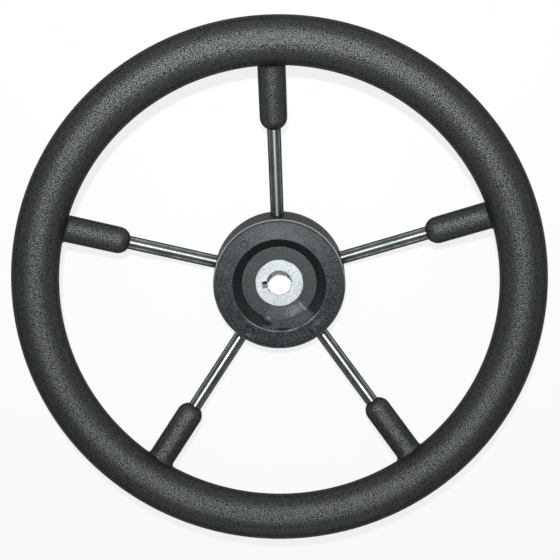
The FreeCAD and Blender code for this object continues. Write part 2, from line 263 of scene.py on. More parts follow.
def finish_piece(piece: bpy.types.Object, slot: Slot, stands_for: tuple[str, ...]) -> None:
    """Shade a finished piece, tie it to the wheel's body and report it.

    Args:
        piece: The piece, with its place in its mesh.
        slot: Not used.
        stands_for: The frame's nodes that it replaces.
    """
    piece.data.shade_smooth()
    piece.data.set_sharp_from_angle(angle=SHARP_EDGE)
    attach(piece, ROOT)
    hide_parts(*stands_for)
    LOG.info("%s: %d faces, stands for %s", piece.name, len(piece.data.polygons), ", ".join(stands_for))


def new_material(name: str) -> tuple[bpy.types.Material, bpy.types.NodeTree, bpy.types.Node]:
    """Start a material.

    Args:
        name: The finish's name.

    Returns:
        The material, its tree and its Principled shader.
    """
    material = bpy.data.materials.new(name)
    material.use_nodes = True
    tree = material.node_tree
    return material, tree, tree.nodes["Principled BSDF"]


@dataclass(frozen=True)
class WheelSizes:
    """Sizes that several pieces share, read from the frame where a node's box gives them."""

    wheel_radius: float
    ring_height: float
    hub_radius: float
    recess_mouth_height: float
    insert_length: float
    spoke_count: int
    grip_radius: float = 15.25 * MM
    spoke_radius: float = 4.5 * MM
    spoke_dish: float = math.radians(15.6)
    spoke_entry_height: float = 15.1 * MM
    first_spoke: float = math.radians(90)
    insert_radius: float = 16.6 * MM
    insert_flat_depth: float = 0.35 * MM
    insert_flats: int = 6
    keyway_direction: float = math.radians(186)
    recess_depth: float = 8.2 * MM
    recess_floor_radius: float = 25.5 * MM
    recess_mouth_radius: float = 31.9 * MM
    hub_front_radius: float = 44.9 * MM
    hub_lip_height: float = 31.8 * MM
    hub_lip_width: float = 1.0 * MM
    hub_groove_width: float = 1.1 * MM
    bore_large_radius: float = 9.525 * MM
    bore_taper: float = 12.0

    @classmethod
    def from_frame(cls, nodes: dict) -> "WheelSizes":
        """Read the sizes from the frame's boxes.

        Args:
            nodes: The frame's nodes by name.

        Returns:
            The sizes.
        """
        grip_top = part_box("grip")[1]
        hub_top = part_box("hub")[1]
        return cls(
            wheel_radius=grip_top.x,
            ring_height=grip_top.z - cls.grip_radius,
            hub_radius=hub_top.x,
            recess_mouth_height=hub_top.z,
            insert_length=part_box("hub_insert")[1].z,
            spoke_count=sum(name.startswith("spoke_") for name in nodes),
        )

    @property
    def ring_radius(self) -> float:
        """Radius of the ring's centreline."""
        return self.wheel_radius - self.grip_radius

    @property
    def spoke_axis_at_ring(self) -> float:
        """Height of a spoke's axis under the ring's centreline."""
        return self.spoke_entry_height + math.tan(self.spoke_dish) * (self.ring_radius - self.hub_radius)

    @property
    def recess_floor_height(self) -> float:
        """Height of the flat floor round the insert."""
        return self.recess_mouth_height - self.recess_depth

    @property
    def lip_inside(self) -> float:
        """Radius where the hub's lip drops into its groove."""
        return self.hub_front_radius - self.hub_lip_width

    def bar_outline(self, angle: np.ndarray) -> np.ndarray:
        """Work out the insert bar's radius, with its flats.

        Args:
            angle: The angles about the axis.

        Returns:
            The radius at each angle.
        """
        step = FULL_TURN / self.insert_flats
        from_flat = (angle - self.keyway_direction + step / 2) % step - step / 2
        flat = (self.insert_radius - self.insert_flat_depth) / np.cos(from_flat)
        return np.minimum(self.insert_radius, flat)

    def spoke_nodes(self) -> tuple[str, ...]:
        """Return the names of the spokes' nodes."""
        return tuple(f"spoke_{number + 1}" for number in range(self.spoke_count))


# Turned forms

@dataclass(frozen=True)
class Corner:
    """A corner of a turned profile: radius, height, rounding, and how fine the side after it is cut."""

    radius: float
    height: float
    rounding: float = 0.0
    cuts: int = 1
    follows_bar: bool = False


@dataclass(frozen=True)
class Bend:
    """How an outline's two sides meet at a corner, all in arrays or all in Vectors."""

    here: np.ndarray | Vector
    back: np.ndarray | Vector
    onwards: np.ndarray | Vector
    middle: np.ndarray | Vector
    half_angle: float

    def arc(self, rounding: float, steps: int) -> list[np.ndarray | Vector]:
        """Work out the arc that rounds the corner.

        Args:
            rounding: The arc's radius.
            steps: How many sides the arc gets.

        Returns:
            The arc's points, from the side before the corner to the side after it.
        """
        centre = self.here + self.middle * rounding / math.sin(self.half_angle)
        reach = rounding / math.tan(self.half_angle)
        first = self.here + self.back * reach - centre
        last = self.here + self.onwards * reach - centre
        sweep = math.pi - 2 * self.half_angle
        points = []
        for step in range(steps + 1):
            share = step / steps
            blend = first * math.sin((1 - share) * sweep) + last * math.sin(share * sweep)
            points.append(centre + blend / math.sin(sweep))
        return points


def section_bend(before: np.ndarray, here: np.ndarray, after: np.ndarray) -> Bend:
    """Work out how a section's two sides meet, in double precision.

    Args:
        before: The point before the corner.
        here: The corner.
        after: The point after the corner.

    Returns:
        The bend.
    """
    back = (before - here) / np.linalg.norm(before - here)
    onwards = (after - here) / np.linalg.norm(after - here)
    half_angle = math.acos(float(np.clip(back @ onwards, -1, 1))) / 2
    middle = (back + onwards) / np.linalg.norm(back + onwards)
    return Bend(here, back, onwards, middle, half_angle)


def rounded_profile(corners: list[Corner], arc_steps: int) -> list[tuple[float, float, bool]]:
    """Round a closed profile's corners and cut its sides.

    Args:
        corners: The corners in order.
        arc_steps: How many sides each rounding gets.

    Returns:
        Radius, height and whether the point follows the insert bar's outline, for each point.
    """
    places = [np.array((corner.radius, corner.height)) for corner in corners]
    following = [(number + 1) % len(corners) for number in range(len(corners))]
    arcs = []
    for number, corner in enumerate(corners):
        arc = [places[number]]
        if corner.rounding:
            bend = section_bend(places[number - 1], places[number], places[following[number]])
            arc = bend.arc(corner.rounding, arc_steps)
        arcs.append(arc)
    points = []
    for number, corner in enumerate(corners):
        points += [(*point, corner.follows_bar) for point in arcs[number]]
        side_start = arcs[number][-1]
        side_end = arcs[following[number]][0]
        along = corner.follows_bar and corners[following[number]].follows_bar
        for cut in range(1, corner.cuts):
            point = side_start + (side_end - side_start) * cut / corner.cuts
            points.append((*point, along))
    return points


def turned_mesh(name: str, profile: list[tuple[float, float, bool]], segments: int,
                sizes: WheelSizes) -> bpy.types.Mesh:
    """Turn a closed profile about the wheel's axis into a closed mesh.

    Args:
        name: The mesh's name.
        profile: Radius, height and whether the point follows the insert bar's outline.
        segments: How many steps go round.
        sizes: The shared sizes.

    Returns:
        The mesh, with its faces outwards.
    """
    angle = np.arange(segments) * FULL_TURN / segments
    bar = sizes.bar_outline(angle)
    rows = []
    for radius, height, follows_bar in profile:
        around = np.minimum(bar, radius) if follows_bar else np.full(segments, radius)
        heights = np.full(segments, height)
        rows.append(np.column_stack((around * np.cos(angle), around * np.sin(angle), heights)))
    faces = []
    for row in range(len(rows)):
        above = (row + 1) % len(rows)
        for step in range(segments):
            onwards = (step + 1) % segments
            faces.append((row * segments + step, row * segments + onwards,
                          above * segments + onwards, above * segments + step))
    return new_mesh(name, np.vstack(rows).tolist(), faces)


# Finishes

@dataclass(frozen=True)
class Relief:
    """A finish's relief: the value that gives its height, and its depth."""

    height: str
    depth: float


def finish_surface(tree: bpy.types.NodeTree, shader: bpy.types.Node, values: dict, colours: tuple,
                   gloss: tuple[str, float, float], relief: Relief) -> None:
    """Lay a finish's colours over one another, and link its gloss and relief.

    Args:
        tree: The material's tree.
        shader: Its Principled shader.
        values: The pattern's values by name.
        colours: The ground colour, then rows of (share, colour) that lie over it in turn.
        gloss: The value that drives the roughness, and the roughness at zero and at one.
        relief: The surface's relief.
    """
    ground, *layers = colours
    shade = linear(ground)
    for share, colour in layers:
        shade = add_node(tree, "ShaderNodeMix", {0: values[share], 6: shade, 7: linear(colour)},
                         data_type="RGBA").outputs[2]
    driver, smooth, rough = gloss
    roughness = add_node(tree, "ShaderNodeMapRange", {
        "Value": values[driver], "To Min": smooth, "To Max": rough})
    bump = add_node(tree, "ShaderNodeBump", {
        "Height": values[relief.height], "Strength": 1.0, "Distance": relief.depth})
    tree.links.new(shade, shader.inputs["Base Color"])
    tree.links.new(roughness.outputs[0], shader.inputs["Roughness"])
    tree.links.new(bump.outputs[0], shader.inputs["Normal"])


@dataclass(frozen=True)
class FadingGloss:
    """A dull skin's gloss: its level facing the eye and at the outline, and a pit's loss of it."""

    facing: float
    outline: float
    pit_loss: float = 0.0
    fade_start: float = 0.08
    fade_end: float = 0.45

    def add(self, tree: bpy.types.NodeTree, shader: bpy.types.Node, values: dict, pit: str) -> None:
        """Let the gloss fade in the pits, and towards the outline, where the pits shade it.

        Args:
            tree: The material's tree.
            shader: Its Principled shader.
            values: The pattern's values by name.
            pit: The value that is one in a pit.
        """
        lean = add_node(tree, "ShaderNodeLayerWeight", {"Blend": 0.5}).outputs["Facing"]
        level = add_node(tree, "ShaderNodeMapRange", {
            "Value": lean, "From Min": self.fade_start, "From Max": self.fade_end,
            "To Min": self.facing, "To Max": self.outline})
        work_out(tree, values, (
            ("kept", "MULTIPLY_ADD", pit, -self.pit_loss, 1.0),
            ("gloss", "MULTIPLY", "kept", level.outputs[0]),
        ))
        tree.links.new(values["gloss"], shader.inputs["Specular IOR Level"])


@dataclass(frozen=True)
class FoamSkin:
    """Integral-skin polyurethane foam, moulded against a pebbled tool."""

    name: str = "integral_skin_foam"
    ground: str = "2a2c2a"
    pit: str = "1a1b1a"
    faded: str = "343630"
    pebble: float = 0.82 * MM
    unevenness: float = 0.85
    grain: float = 0.5 * MM
    grain_lift: float = 0.2
    crest_level: float = 0.5
    pit_contrast: float = 2.0
    pit_level: float = -0.45
    pit_most: float = 0.95
    cloud: float = 26 * MM
    fade_contrast: float = 1.6
    fade_level: float = -0.55
    fade_amount: float = 0.5
    relief_depth: float = 0.25 * MM
    roughness: tuple[float, float] = (0.43, 0.6)
    gloss: FadingGloss = FadingGloss(facing=1.0, outline=0.05, pit_loss=0.8)
    ior: float = 1.6

    def make(self) -> bpy.types.Material:
        """Build the material.

        Returns:
            The material.
        """
        # The tool's pebbles leave glossy crests and dull valleys, so a light on the grip breaks up
        # into a soft, speckled sheen. The skin's own grain is finer, and is drawn as coarse as it
        # needs to show. Sun has greyed the skin a little in clouds.
        material, tree, shader = new_material(self.name)
        place = add_node(tree, "ShaderNodeTexCoord").outputs["Object"]
        pebbles = add_node(tree, "ShaderNodeTexVoronoi", {
            "Vector": place, "Scale": 1 / self.pebble, "Randomness": self.unevenness})
        values = {"pebbles": pebbles.outputs["Distance"]}
        for pattern, width, detail in (("grain", self.grain, 2.0), ("cloud", self.cloud, 3.0)):
            noise = add_node(tree, "ShaderNodeTexNoise", {
                "Vector": place, "Scale": 1 / width, "Detail": detail})
            values[pattern] = noise.outputs["Fac"]
        work_out(tree, values, (
            ("rough_skin", "MULTIPLY_ADD", "grain", -self.grain_lift, "pebbles"),
            ("crest", "SUBTRACT", self.crest_level, "rough_skin"),
            ("deep", "MULTIPLY_ADD", "rough_skin", self.pit_contrast, self.pit_level),
            *held("pit_share", "deep", self.pit_most),
            ("cloudy", "MULTIPLY_ADD", "cloud", self.fade_contrast, self.fade_level),
            ("cloudy_least", "MAXIMUM", "cloudy", 0.0),
            ("fade_share", "MULTIPLY", "cloudy_least", self.fade_amount),
        ))
        finish_surface(tree, shader, values,
                       (self.ground, ("fade_share", self.faded), ("pit_share", self.pit)),
                       ("pit_share", *self.roughness), Relief("crest", self.relief_depth))
        self.gloss.add(tree, shader, values, "pit_share")
        shader.inputs["IOR"].default_value = self.ior
        return material


@dataclass(frozen=True)
class PolishedSteel:
    """Stainless round bar, centreless-ground and polished."""

    name: str = "polished_stainless"
    bright: str = "bcbebd"
    dull: str = "8c8e8d"
    # colour painted on the bars towards their outline: a painted reflection of dim surroundings in the
    # flanks
    painted_flank_shade: str = "565856"
    # the dark grazing tint dims the flanks' reflection as well
    grazing: str = "303130"
    ring_width: float = 0.25 * MM
    ring_share: float = 0.4
    ring_height: float = 0.02
    wave: float = 7 * MM
    wave_depth: float = 0.02 * MM
    dull_contrast: float = 2.0
    dull_level: float = -0.75
    edge_start: float = 0.22
    edge_end: float = 0.5
    roughness: tuple[float, float] = (0.34, 0.46)
    stretch: float = 0.78
    place_name: str = "bar_place"
    axis_name: str = "bar_axis"

    def make(self) -> bpy.types.Material:
        """Build the material.

        Returns:
            The material.
        """
        # Grinding leaves fine rings round the bar. They spread a light across their own direction,
        # into one bright streak along the bar, and the polish leaves it a little patchy. The two flanks
        # beside the streak are painted darker towards the outline, as a painted reflection of dim
        # surroundings. Real rings are some hundredths of a millimetre wide, and are drawn as coarse as
        # they need to show.
        material, tree, shader = new_material(self.name)
        place = add_node(tree, "ShaderNodeAttribute", attribute_name=self.place_name).outputs["Vector"]
        axis = add_node(tree, "ShaderNodeAttribute", attribute_name=self.axis_name).outputs["Vector"]
        # the bars are painted darker towards their outline, as a painted reflection of dim surroundings
        lean = add_node(tree, "ShaderNodeLayerWeight", {"Blend": 0.5}).outputs["Facing"]
        painted_flank_shade = add_node(tree, "ShaderNodeMapRange", {
            "Value": lean, "From Min": self.edge_start, "From Max": self.edge_end},
            interpolation_type="SMOOTHSTEP")
        values = {"painted_flank_shade": painted_flank_shade.outputs[0]}
        for pattern, width in (("waves", self.wave), ("rings", self.ring_width)):
            noise = add_node(tree, "ShaderNodeTexNoise", {
                "Vector": place, "Scale": 1 / width, "Detail": 2.0})
            values[pattern] = noise.outputs["Fac"]
        work_out(tree, values, (
            ("patchy", "MULTIPLY_ADD", "waves", self.dull_contrast, self.dull_level),
            ("mixed", "MULTIPLY_ADD", "rings", self.ring_share, "patchy"),
            *held("dull_share", "mixed"),
            ("height", "MULTIPLY_ADD", "rings", self.ring_height, "waves"),
        ))
        finish_surface(tree, shader, values,
                       (self.bright, ("dull_share", self.dull), ("painted_flank_shade", self.painted_flank_shade)),
                       ("dull_share", *self.roughness), Relief("height", self.wave_depth))
        tree.links.new(axis, shader.inputs["Tangent"])
        shader.inputs["Metallic"].default_value = 1.0
        shader.inputs["Anisotropic"].default_value = self.stretch
        shader.inputs["Specular Tint"].default_value = linear(self.grazing)
        return material


@dataclass(frozen=True)
class PlainSteel:
    """Mild steel bar, hot-rolled, bent and welded."""

    name: str = "rolled_steel"
    scale_grey: str = "4b4a4a"
    rust: str = "5a4334"
    grain: float = 0.8 * MM
    relief_depth: float = 0.05 * MM
    roughness: tuple[float, float] = (0.5, 0.75)
    metal: float = 0.6

    def make(self) -> bpy.types.Material:
        """Build the material.

        Returns:
            The material.
        """
        # Rolling leaves dark mill scale, which is dull and has a faint bloom of rust.
        material, tree, shader = new_material(self.name)
        place = add_node(tree, "ShaderNodeTexCoord").outputs["Object"]
        grain = add_node(tree, "ShaderNodeTexNoise", {
            "Vector": place, "Scale": 1 / self.grain, "Detail": 4.0})
        finish_surface(tree, shader, {"grain": grain.outputs["Fac"]},
                       (self.scale_grey, ("grain", self.rust)),
                       ("grain", *self.roughness), Relief("grain", self.relief_depth))
        shader.inputs["Metallic"].default_value = self.metal
        return material


@dataclass(frozen=True)
class Blot:
    """A patch of grease or a scuff on the hub's face: its place, its reach and its colour."""

    bearing: float
    radius_out: float
    half_arc: float
    half_width: float
    colour: str
    strength: float
    smear_contrast: float = 4.0
    speck_contrast: float = 5.0
    level: float = -3.4
    sharpness: float = 1.4

    def add(self, tree: bpy.types.NodeTree, values: dict, share: str) -> None:
        """Work out the patch's ragged share of the surface.

        Args:
            tree: The material's tree.
            values: The pattern's values by name, which get the share.
            share: The name that it is kept under.
        """
        work_out(tree, values, (
            ("blot_turn", "SUBTRACT", "bearing", self.bearing),
            ("blot_along", "MULTIPLY", "blot_turn", self.radius_out / self.half_arc),
            ("blot_out", "SUBTRACT", "radius", self.radius_out),
            ("blot_across", "DIVIDE", "blot_out", self.half_width),
            ("blot_square", "MULTIPLY", "blot_along", "blot_along"),
            ("blot_reach", "MULTIPLY_ADD", "blot_across", "blot_across", "blot_square"),
            ("blot_ragged", "MULTIPLY_ADD", "smears", self.smear_contrast, self.level),
            ("blot_rough", "MULTIPLY_ADD", "specks", self.speck_contrast, "blot_ragged"),
            ("blot_fill", "SUBTRACT", "blot_rough", "blot_reach"),
            ("blot_sharp", "MULTIPLY", "blot_fill", self.sharpness),
            *held("blot_held", "blot_sharp"),
            (share, "MULTIPLY", "blot_held", self.strength),
        ))


@dataclass(frozen=True)
class PinMark:
    """A round mark that a pin of the tool leaves on the hub's face, with dirt round its edge.

    The slope, the rim's place and the rim's width are shares of the mark's half width, and the
    rim's height is a share of its depth.
    """

    radius_out: float
    bearing_degrees: float
    width: float
    depth: float = 0.24 * MM
    slope: float = 0.16
    rim_height: float = 0.35
    rim_place: float = 1.06
    rim_width: float = 0.07
    stain_reach: float = 1.0 * MM
    stain_amount: float = 1.5

    @property
    def middle(self) -> np.ndarray:
        """Place of the mark's middle on the face."""
        bearing = math.radians(self.bearing_degrees)
        return np.array((math.cos(bearing), math.sin(bearing))) * self.radius_out

    def relief(self, places: np.ndarray) -> np.ndarray:
        """Work out how far the mark lifts the face, or presses it in.

        Args:
            places: Points on the face.

        Returns:
            The change of height at each point.
        """
        away = np.hypot(places[:, 0] - self.middle[0], places[:, 1] - self.middle[1])
        gap = away / (self.width / 2)
        dish = -self.depth * np.clip((1 - gap) / self.slope, 0, 1)
        rim = self.rim_height * self.depth * np.exp(-((gap - self.rim_place) / self.rim_width) ** 2)
        return dish + rim

    def add_stain(self, tree: bpy.types.NodeTree, values: dict, share: str) -> None:
        """Work out the dark, ragged stain round the mark's edge.

        Args:
            tree: The material's tree.
            values: The pattern's values by name, which get the stain's share.
            share: The name that it is kept under.
        """
        middle_x, middle_y = self.middle.tolist()
        work_out(tree, values, (
            ("mark_x", "SUBTRACT", "x", middle_x),
            ("mark_y", "SUBTRACT", "y", middle_y),
            ("mark_x_square", "MULTIPLY", "mark_x", "mark_x"),
            ("mark_square", "MULTIPLY_ADD", "mark_y", "mark_y", "mark_x_square"),
            ("mark_gap", "SQRT", "mark_square"),
            ("from_edge", "SUBTRACT", "mark_gap", self.width / 2),
            ("from_edge_size", "ABSOLUTE", "from_edge"),
            ("closeness", "DIVIDE", "from_edge_size", -self.stain_reach),
            ("ring", "ADD", "closeness", 1.0),
            ("ring_least", "MAXIMUM", "ring", 0.0),
            ("ring_broken", "MULTIPLY", "ring_least", "smears"),
            (share, "MULTIPLY", "ring_broken", self.stain_amount),
        ))


@dataclass(frozen=True)
class MouldedNylon:
    """Black glass-filled nylon as moulded, dusty and worn by the fitting of the wheel, with highlights
    painted on two edges and shade painted in its groove and recess.
    """

    sizes: WheelSizes
    marks: tuple[PinMark, ...]
    name: str = "moulded_nylon"
    ground: str = "1d1f20"
    dust: str = "4b4e50"
    side_dust: str = "1d1712"
    # pale colour painted as highlights along the lip's top and the recess's lower edge
    painted_highlight: str = "a4a6a2"
    scratch: str = "b6b9b9"
    # near-black colour of the shade painted in the lip's groove, and of the stains round the pin marks
    near_black: str = "0a0b0b"
    # the texture and its smears round the axis
    speck: float = 1.0 * MM
    cloud: float = 8 * MM
    smear: float = 3.2 * MM
    smear_radius: float = 28 * MM
    smear_narrowing: float = 2.0
    smear_roughness: float = 0.65
    broken_contrast: float = 2.4
    broken_level: float = -0.6
    relief_depth: float = 0.36 * MM
    roughness: tuple[float, float] = (0.46, 0.64)
    gloss: FadingGloss = FadingGloss(facing=0.7, outline=0.1)
    # dust, and the shade painted in the recess by cutting it
    edge_margin: float = 0.2 * MM
    used_start: float = math.radians(-113)
    used_end: float = math.radians(-43)
    used_raggedness: float = 0.4
    dust_contrast: float = 5.4
    dust_level: float = -2.95
    dust_clouds: float = 1.2
    dust_where_used: float = 0.75
    # how far the dust is cut on the recess's wall and floor outside the paler sector: painted shade
    wall_painted_shade: float = 0.75
    floor_painted_shade: float = 0.3
    side_margin: float = 0.05 * MM
    side_least: float = 0.6
    # highlights painted on edges, and shade painted in the groove
    lip_highlight_height: float = 0.35 * MM
    lip_highlight_rise: float = 0.3 / (10 * MM)
    lip_highlight_level: float = 0.15
    lip_highlight_most: float = 0.66
    groove_shade: float = 0.9
    mouth_highlight_bearing: float = math.radians(-90)
    mouth_highlight_reach: float = 0.95
    mouth_highlight_offset: float = 0.1 * MM
    mouth_highlight_width: float = 0.35 * MM
    mouth_highlight_most: float = 0.55
    # the scratch
    scratch_bearing: float = math.radians(-47)
    scratch_half_width: float = 0.45 * MM
    scratch_start: float = 19 * MM
    scratch_end: float = 26 * MM
    # grease and scuffs
    blots: tuple[Blot, ...] = (
        Blot(math.radians(-64), 21.5 * MM, 6.5 * MM, 3.4 * MM, "7e8183", 0.7),
        Blot(math.radians(-60), 28 * MM, 8 * MM, 2.6 * MM, "606365", 0.5),
        Blot(math.radians(-109), 26.2 * MM, 2.6 * MM, 1.8 * MM, "8a8d8d", 0.45),
        Blot(math.radians(-110), 28.2 * MM, 4.4 * MM, 1.5 * MM, "060707", 0.95),
        Blot(math.radians(-88), 30.6 * MM, 5.0 * MM, 0.8 * MM, "060707", 0.95),
        Blot(math.radians(-47), 37 * MM, 6 * MM, 2.4 * MM, "6c6f70", 0.4),
        Blot(math.radians(-122), 41 * MM, 3.4 * MM, 1.4 * MM, "6c6f70", 0.45),
        Blot(math.radians(46), 33.6 * MM, 2.2 * MM, 0.9 * MM, "0a0b0b", 0.8),
    )

    def make(self) -> bpy.types.Material:
        """Build the material.

        Returns:
            The material.
        """
        # Glass fibres near the surface and the tool's fine spark-eroded texture leave the plastic
        # dull. Pale dust lies in the texture as specks and clouds, so the black reads as dark grey,
        # and where tools and grease touched the hub it is scuffed pale or stained black. Highlights
        # are painted along the lip's top and the recess's lower edge, and shade is painted in the
        # groove and over the recess.
        material, tree, shader = new_material(self.name)
        place = add_node(tree, "ShaderNodeTexCoord").outputs["Object"]
        values = about_axis(tree, place)
        for pattern, width, detail in (("specks", self.speck, 3.0), ("clouds", self.cloud, 5.0)):
            noise = add_node(tree, "ShaderNodeTexNoise", {
                "Vector": place, "Scale": 1 / width, "Detail": detail})
            values[pattern] = noise.outputs["Fac"]
        work_out(tree, values, (
            ("arc", "MULTIPLY", "bearing", self.smear_radius),
            ("radius_stretched", "MULTIPLY", "radius", self.smear_narrowing),
            ("broken", "MULTIPLY_ADD", "clouds", self.broken_contrast, self.broken_level),
            *held("broken_share", "broken"),
        ))
        along = add_node(tree, "ShaderNodeCombineXYZ", {0: values["arc"], 1: values["radius_stretched"]})
        smears = add_node(tree, "ShaderNodeTexNoise", {
            "Vector": along.outputs[0], "Scale": 1 / self.smear, "Detail": 4.0,
            "Roughness": self.smear_roughness})
        values["smears"] = smears.outputs["Fac"]
        work_out(tree, values, self.dust_steps() + self.painted_light_steps() + self.scratch_steps())
        colours = [self.ground, ("dust_and_shade_share", self.dust), ("side_share", self.side_dust),
                   ("highlight_share", self.painted_highlight), ("groove_shade_share", self.near_black),
                   ("scratch_share", self.scratch)]
        for number, mark in enumerate(self.marks):
            mark.add_stain(tree, values, f"stain_{number}")
            colours.append((f"stain_{number}", self.near_black))
        for number, blot in enumerate(self.blots):
            blot.add(tree, values, f"blot_{number}")
            colours.append((f"blot_{number}", blot.colour))
        finish_surface(tree, shader, values, tuple(colours), ("specks", *self.roughness),
                       Relief("specks", self.relief_depth))
        self.gloss.add(tree, shader, values, "specks")
        return material

    def dust_steps(self) -> tuple:
        """Work out where the dust lies, and where less of it paints shade in the recess.

        Returns:
            The formula rows.
        """
        sizes = self.sizes
        return (
            # the side of the recess where tools go in, which is used and dusty
            ("in_recess", "LESS_THAN", "radius", sizes.recess_mouth_radius - self.edge_margin),
            ("ragged", "MULTIPLY_ADD", "smears", self.used_raggedness, "bearing"),
            ("past_start", "GREATER_THAN", "ragged", self.used_start + self.used_raggedness / 2),
            ("before_end", "LESS_THAN", "ragged", self.used_end + self.used_raggedness / 2),
            ("used_side", "MULTIPLY", "past_start", "before_end"),
            ("used", "MULTIPLY", "used_side", "in_recess"),
            # the rest of the recess keeps less dust, and its steep wall least: painted shade
            ("on_wall", "GREATER_THAN", "radius", sizes.recess_floor_radius + self.edge_margin),
            ("wall", "MULTIPLY", "on_wall", "in_recess"),
            ("floor", "SUBTRACT", "in_recess", "wall"),
            ("unused_side", "SUBTRACT", 1.0, "used_side"),
            ("shaded_wall", "MULTIPLY", "wall", "unused_side"),
            ("shaded_floor", "MULTIPLY", "floor", "unused_side"),
            ("wall_unshaded", "MULTIPLY_ADD", "shaded_wall", -self.wall_painted_shade, 1.0),
            ("dust_unshaded", "MULTIPLY_ADD", "shaded_floor", -self.floor_painted_shade, "wall_unshaded"),
            # dust lies in specks and clouds
            ("speckled", "MULTIPLY_ADD", "specks", self.dust_contrast, self.dust_level),
            ("dusty", "MULTIPLY_ADD", "clouds", self.dust_clouds, "speckled"),
            ("dustier", "MULTIPLY_ADD", "used", self.dust_where_used, "dusty"),
            *held("dust_held", "dustier"),
            ("dust_and_shade_share", "MULTIPLY", "dust_held", "dust_unshaded"),
            # the side's dust is browner
            ("beyond_lip", "GREATER_THAN", "radius", sizes.hub_front_radius + self.side_margin),
            ("side_amount", "MULTIPLY_ADD", "broken_share", 1 - self.side_least, self.side_least),
            ("side_share", "MULTIPLY", "beyond_lip", "side_amount"),
        )

    def painted_light_steps(self) -> tuple:
        """Work out the highlights painted on the lip and on the recess's edge, and the shade painted in the
        groove.

        Returns:
            The formula rows.
        """
        sizes = self.sizes
        lip_half = sizes.hub_lip_width / 2
        groove_half = sizes.hub_groove_width / 2
        return (
            # a pale highlight is painted along the lip's top, strongest on its upper half
            ("near_lip", "COMPARE", "radius", sizes.hub_front_radius - lip_half, lip_half),
            ("lip_high", "GREATER_THAN", "z", sizes.hub_lip_height - self.lip_highlight_height),
            ("lip", "MULTIPLY", "near_lip", "lip_high"),
            ("lip_upper", "MULTIPLY_ADD", "y", self.lip_highlight_rise, self.lip_highlight_level),
            *held("lip_amount", "lip_upper", self.lip_highlight_most),
            ("lip_share", "MULTIPLY", "lip", "lip_amount"),
            # its groove is painted near black, as shade
            ("near_groove", "COMPARE", "radius", sizes.lip_inside - groove_half, groove_half),
            ("groove_shade_share", "MULTIPLY", "near_groove", self.groove_shade),
            # a pale highlight is painted on the recess's edge, on its lower side
            ("near_mouth", "COMPARE", "radius", sizes.recess_mouth_radius + self.mouth_highlight_offset,
             self.mouth_highlight_width),
            ("mouth_side", "COMPARE", "bearing", self.mouth_highlight_bearing, self.mouth_highlight_reach),
            ("mouth", "MULTIPLY", "near_mouth", "mouth_side"),
            ("mouth_most", "MULTIPLY", "mouth", self.mouth_highlight_most),
            ("mouth_share", "MULTIPLY", "mouth_most", "broken_share"),
            ("highlight_share", "MAXIMUM", "lip_share", "mouth_share"),
        )

    def scratch_steps(self) -> tuple:
        """Work out the one scratch that runs out across the recess's floor.

        Returns:
            The formula rows.
        """
        return (
            ("off_scratch", "SUBTRACT", "bearing", self.scratch_bearing),
            ("scratch_gap", "MULTIPLY", "off_scratch", "radius"),
            ("on_scratch", "COMPARE", "scratch_gap", 0.0, self.scratch_half_width),
            ("past_insert", "GREATER_THAN", "radius", self.scratch_start),
            ("before_wall", "LESS_THAN", "radius", self.scratch_end),
            ("scratch_run", "MULTIPLY", "past_insert", "before_wall"),
            ("scratch_place", "MULTIPLY", "on_scratch", "scratch_run"),
            ("scratch_share", "MULTIPLY", "scratch_place", "specks"),
        )


